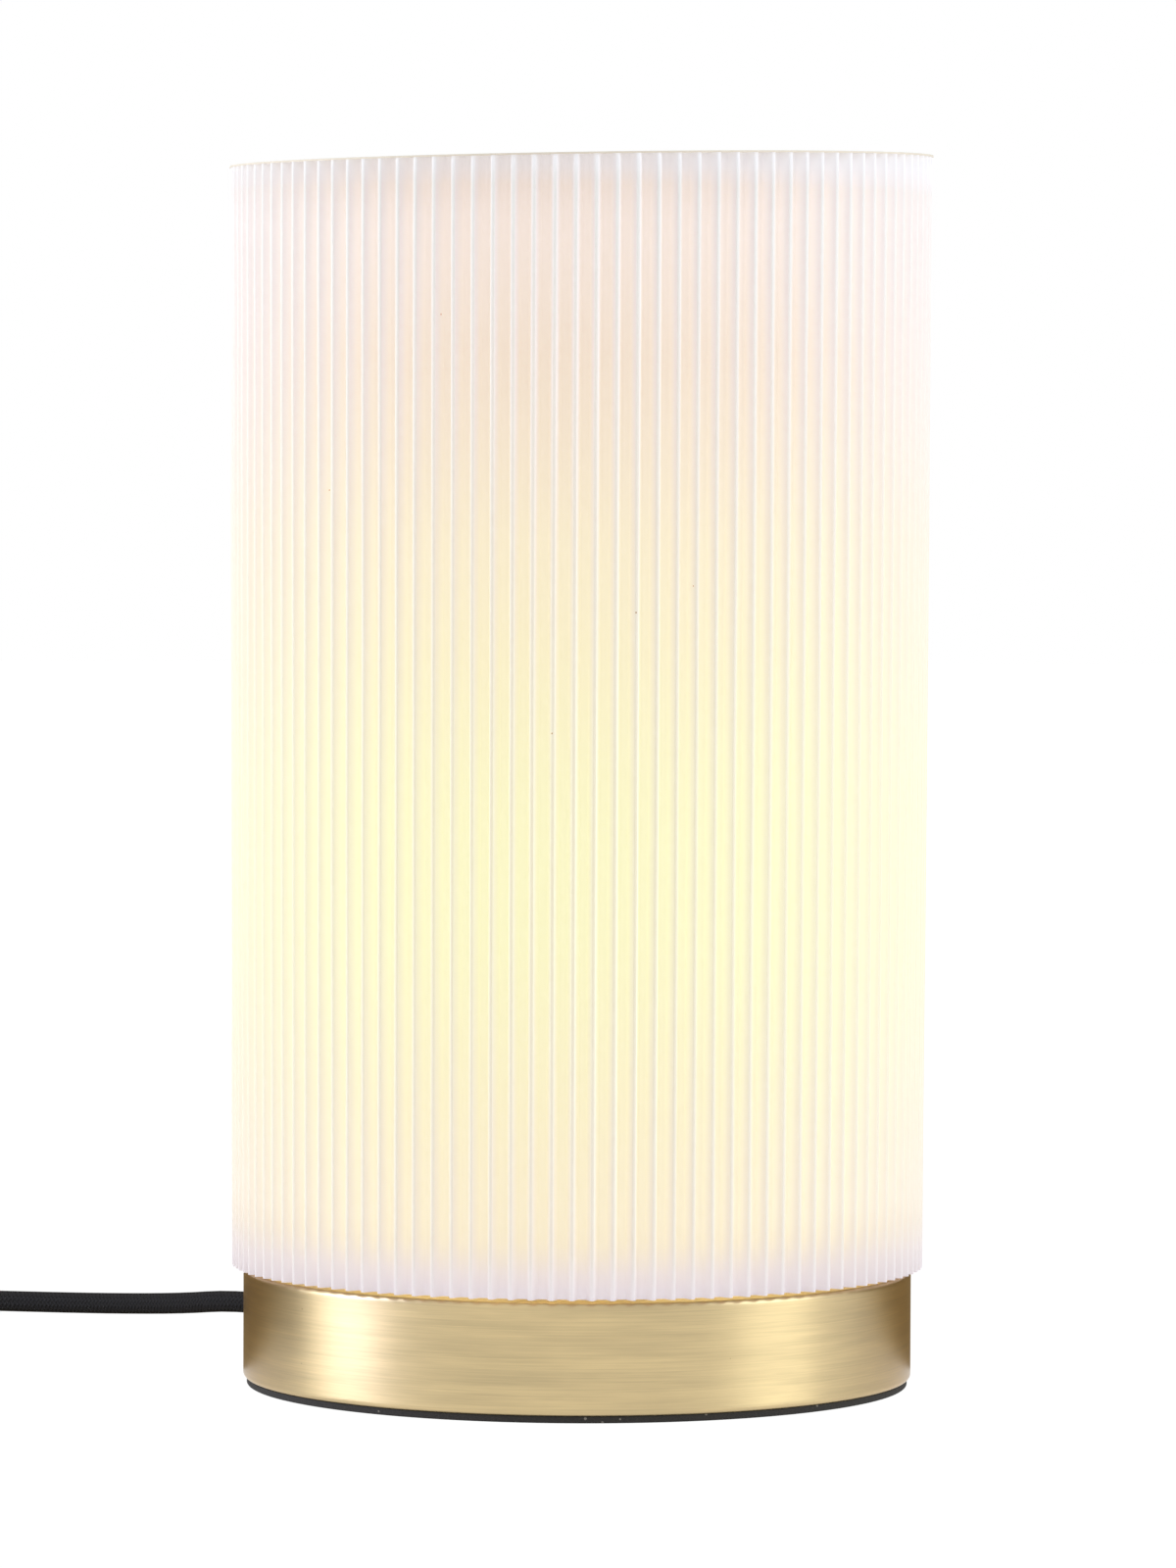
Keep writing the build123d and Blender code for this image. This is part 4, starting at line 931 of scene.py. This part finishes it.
def strap():
    """Hook-and-loop tie with a fuzzy face."""
    material, tree, shader = new_material("hook_and_loop")
    fuzz = use(tree, clouding, Scale=3800.0, Strength=1.4)["Shade"]
    rows = use(tree, clouding, Scale=900.0, Strength=0.8)["Shade"]
    put(tree, shader.inputs["Base Color"], tinted(tree, (0.035, 0.035, 0.036), fuzz))
    shader.inputs["Roughness"].default_value = 0.95
    shader.inputs["Sheen Weight"].default_value = 0.5
    bump(tree, shader, calc(tree, "ADD", fuzz, rows), 0.0004, 0.9)
    return material


finishes = {
    "shade_wire": moulded("enamelled_wire", (0.84, 0.83, 0.80), 0.35, 0.00002, 0.05, 0.3),
    "zinc_steel": metal("zinc_plate", (0.66, 0.66, 0.68), 0.36, 0.35, 420.0),
    "weight_iron": metal("cast_iron", (0.20, 0.20, 0.20), 0.75, 0.6, 260.0),
    "black_plastic": moulded("black_plastic", (0.022, 0.022, 0.024), 0.42),
    "holder_plastic": moulded("white_thermoset", (0.86, 0.85, 0.81), 0.32, 0.00002, 0.04, 0.2),
    "porcelain": moulded("porcelain", (0.86, 0.85, 0.81), 0.6, 0.00005, 0.05),
    "contact_brass": metal("contact_brass", (0.80, 0.64, 0.34), 0.28, 0.2, 300.0),
    "nickel": metal("nickel", (0.76, 0.74, 0.70), 0.22, 0.12, 260.0),
    "black_insulator": moulded("glass_insulator", (0.012, 0.012, 0.014), 0.15, 0.00001, 0.1, 0.5),
    "led_aluminium": metal("white_aluminium", (0.86, 0.86, 0.84), 0.45, 0.1, 500.0),
    "circuit_board": moulded("board_laminate", (0.02, 0.13, 0.06), 0.35, 0.00003, 0.3, 0.3),
    "tie_strap": strap(),
    "live_insulation": moulded("brown_core", (0.16, 0.06, 0.025), 0.45),
    "neutral_insulation": moulded("blue_core", (0.03, 0.10, 0.36), 0.45),
    "opal": opal(),
    "braid": braided_sleeve,
    "satin_brass": drum.data.materials[0],
    "foam_pad": pad.data.materials[0],
    "pleated_paper": shade.data.materials[0],
    "hem_card": hem.data.materials[0],
}
for row in frame["record"]["subparts"]:
    piece = cad_nodes[row["node"]]
    piece.data.materials.clear()
    piece.data.materials.append(finishes[row["material_slot"]])
print(len(cad_nodes), "CAD nodes dressed in", len(finishes), "finishes")

# %% [markdown]
# The studio: a white floor that runs into a white surround, one tall soft light on each side and an
# even sky. Light Path lets the camera and mirror rays see plain white, while the light that falls on
# the lamp stays at a level where a colour renders about as it is written.

# %% Floor and surround
SKY_LEVEL = 0.62
FLOOR_GREY = 0.82
FLOOR_WHITE = 1.08
WHITE_FLOOR_SHARE = 0.9
FLOOR_HALF = 8.0


def seen_directly(tree):
    """1 for rays from the camera, from a mirror or through glass, and 0 for scattered light."""
    ray = add(tree, "ShaderNodeLightPath").outputs
    first = calc(tree, "MAXIMUM", ray["Is Camera Ray"], ray["Is Glossy Ray"])
    return calc(tree, "MAXIMUM", first, ray["Is Transmission Ray"])


world = bpy.data.worlds.new("studio")
bpy.context.scene.world = world
world.use_nodes = True
sky = world.node_tree
background = sky.nodes["Background"]
background.inputs["Color"].default_value = (1, 1, 1, 1)
put(sky, background.inputs["Strength"], blend_values(sky, seen_directly(sky), SKY_LEVEL, 1.0))

floor_material = bpy.data.materials.new("white_floor")
floor_material.use_nodes = True
floor_tree = floor_material.node_tree
floor_tree.nodes.clear()
matt = add(floor_tree, "ShaderNodeBsdfDiffuse", {"Color": (FLOOR_GREY, FLOOR_GREY, FLOOR_GREY, 1)})
bright = add(floor_tree, "ShaderNodeEmission", {"Color": (1, 1, 1, 1), "Strength": FLOOR_WHITE})
mixed = add(floor_tree, "ShaderNodeMixShader", {
    0: calc(floor_tree, "MULTIPLY", seen_directly(floor_tree), WHITE_FLOOR_SHARE),
    1: matt.outputs[0],
    2: bright.outputs[0],
})
put(floor_tree, add(floor_tree, "ShaderNodeOutputMaterial").inputs["Surface"], mixed.outputs[0])
floor_corners = [(x * FLOOR_HALF, y * FLOOR_HALF, 0) for x, y in ((-1, -1), (1, -1), (1, 1), (-1, 1))]
floor = object_of("floor", floor_corners, [(0, 1, 2, 3)])
floor.data.materials.append(floor_material)
print("floor", 2 * FLOOR_HALF, "m wide")

# %% [markdown]
# The brass is a mirror of the room, however soft. In the photograph it shows a dark room towards both
# ends of the drum and one white light at its left. So a warm dark screen stands behind the lamp, with
# an apron on the floor, and a bright card stands behind the left softbox. Only reflections see them.


# %% Soft lights and reflection cards
AIM_HEIGHT = 0.16
SOFTBOX_DISTANCE = 1.6
SOFTBOX_HEIGHT = 1.5
SOFTBOX_MIDDLE = 0.62


def around_lamp(distance, azimuth, height):
    """A point round the lamp; azimuth 0 is the camera's side and 90 is the right."""
    turn = math.radians(azimuth)
    return Vector((math.sin(turn) * distance, -math.cos(turn) * distance, height))


def softbox(name, azimuth, width, power, tint):
    """A tall rectangular light that faces the lamp."""
    data = bpy.data.lights.new(name, "AREA")
    data.shape = "RECTANGLE"
    data.size, data.size_y = width, SOFTBOX_HEIGHT
    data.energy = power
    data.color = tint
    lamp = link_object(bpy.data.objects.new(name, data))
    lamp.location = around_lamp(SOFTBOX_DISTANCE, azimuth, SOFTBOX_MIDDLE)
    aim = Vector((0, 0, AIM_HEIGHT)) - lamp.location
    lamp.rotation_euler = aim.to_track_quat("-Z", "Y").to_euler()
    lamp.visible_camera = False


def screen(name, start, end, reach, near, tall, colour, strength):
    """A screen on an arc round the lamp, with an apron on the floor, seen only in reflections."""
    steps = 24
    above_floor = 0.001
    rims = [(near, above_floor), (reach, above_floor), (reach, tall)]
    verts, faces = [], []
    for step in range(steps + 1):
        azimuth = start + (end - start) * step / steps
        verts += [around_lamp(distance, azimuth, height) for distance, height in rims]
    for step in range(steps):
        for k in range(len(rims) - 1):
            first = step * len(rims) + k
            faces.append((first, first + len(rims), first + len(rims) + 1, first + 1))
    card = object_of(name, verts, faces)
    material, _, shader = new_material(name)
    shader.inputs["Base Color"].default_value = (0, 0, 0, 1)
    shader.inputs["Emission Color"].default_value = (*colour, 1)
    shader.inputs["Emission Strength"].default_value = strength
    card.data.materials.append(material)
    for ray in ("camera", "diffuse", "transmission", "shadow"):
        setattr(card, f"visible_{ray}", False)
    print(name, "from", start, "to", end, "degrees")


softbox("softbox_left", azimuth=-88, width=0.85, power=14.2, tint=(0.88, 0.94, 1.0))
softbox("softbox_right", azimuth=71, width=0.90, power=11.0, tint=(0.86, 0.93, 1.0))
screen("warm_screen", start=104, end=260, reach=0.9, near=0.102, tall=1.6,
       colour=(0.21, 0.145, 0.055), strength=1.0)
screen("left_card", start=-91, end=-71, reach=1.75, near=1.74, tall=1.4,
       colour=(0.58, 0.62, 1.0), strength=7.5)

# %% [markdown]
# Last, the picture is shown with the plain Standard view, so that a colour renders about as it is
# written.

# %% Finish
bpy.context.scene.view_settings.view_transform = "Standard"
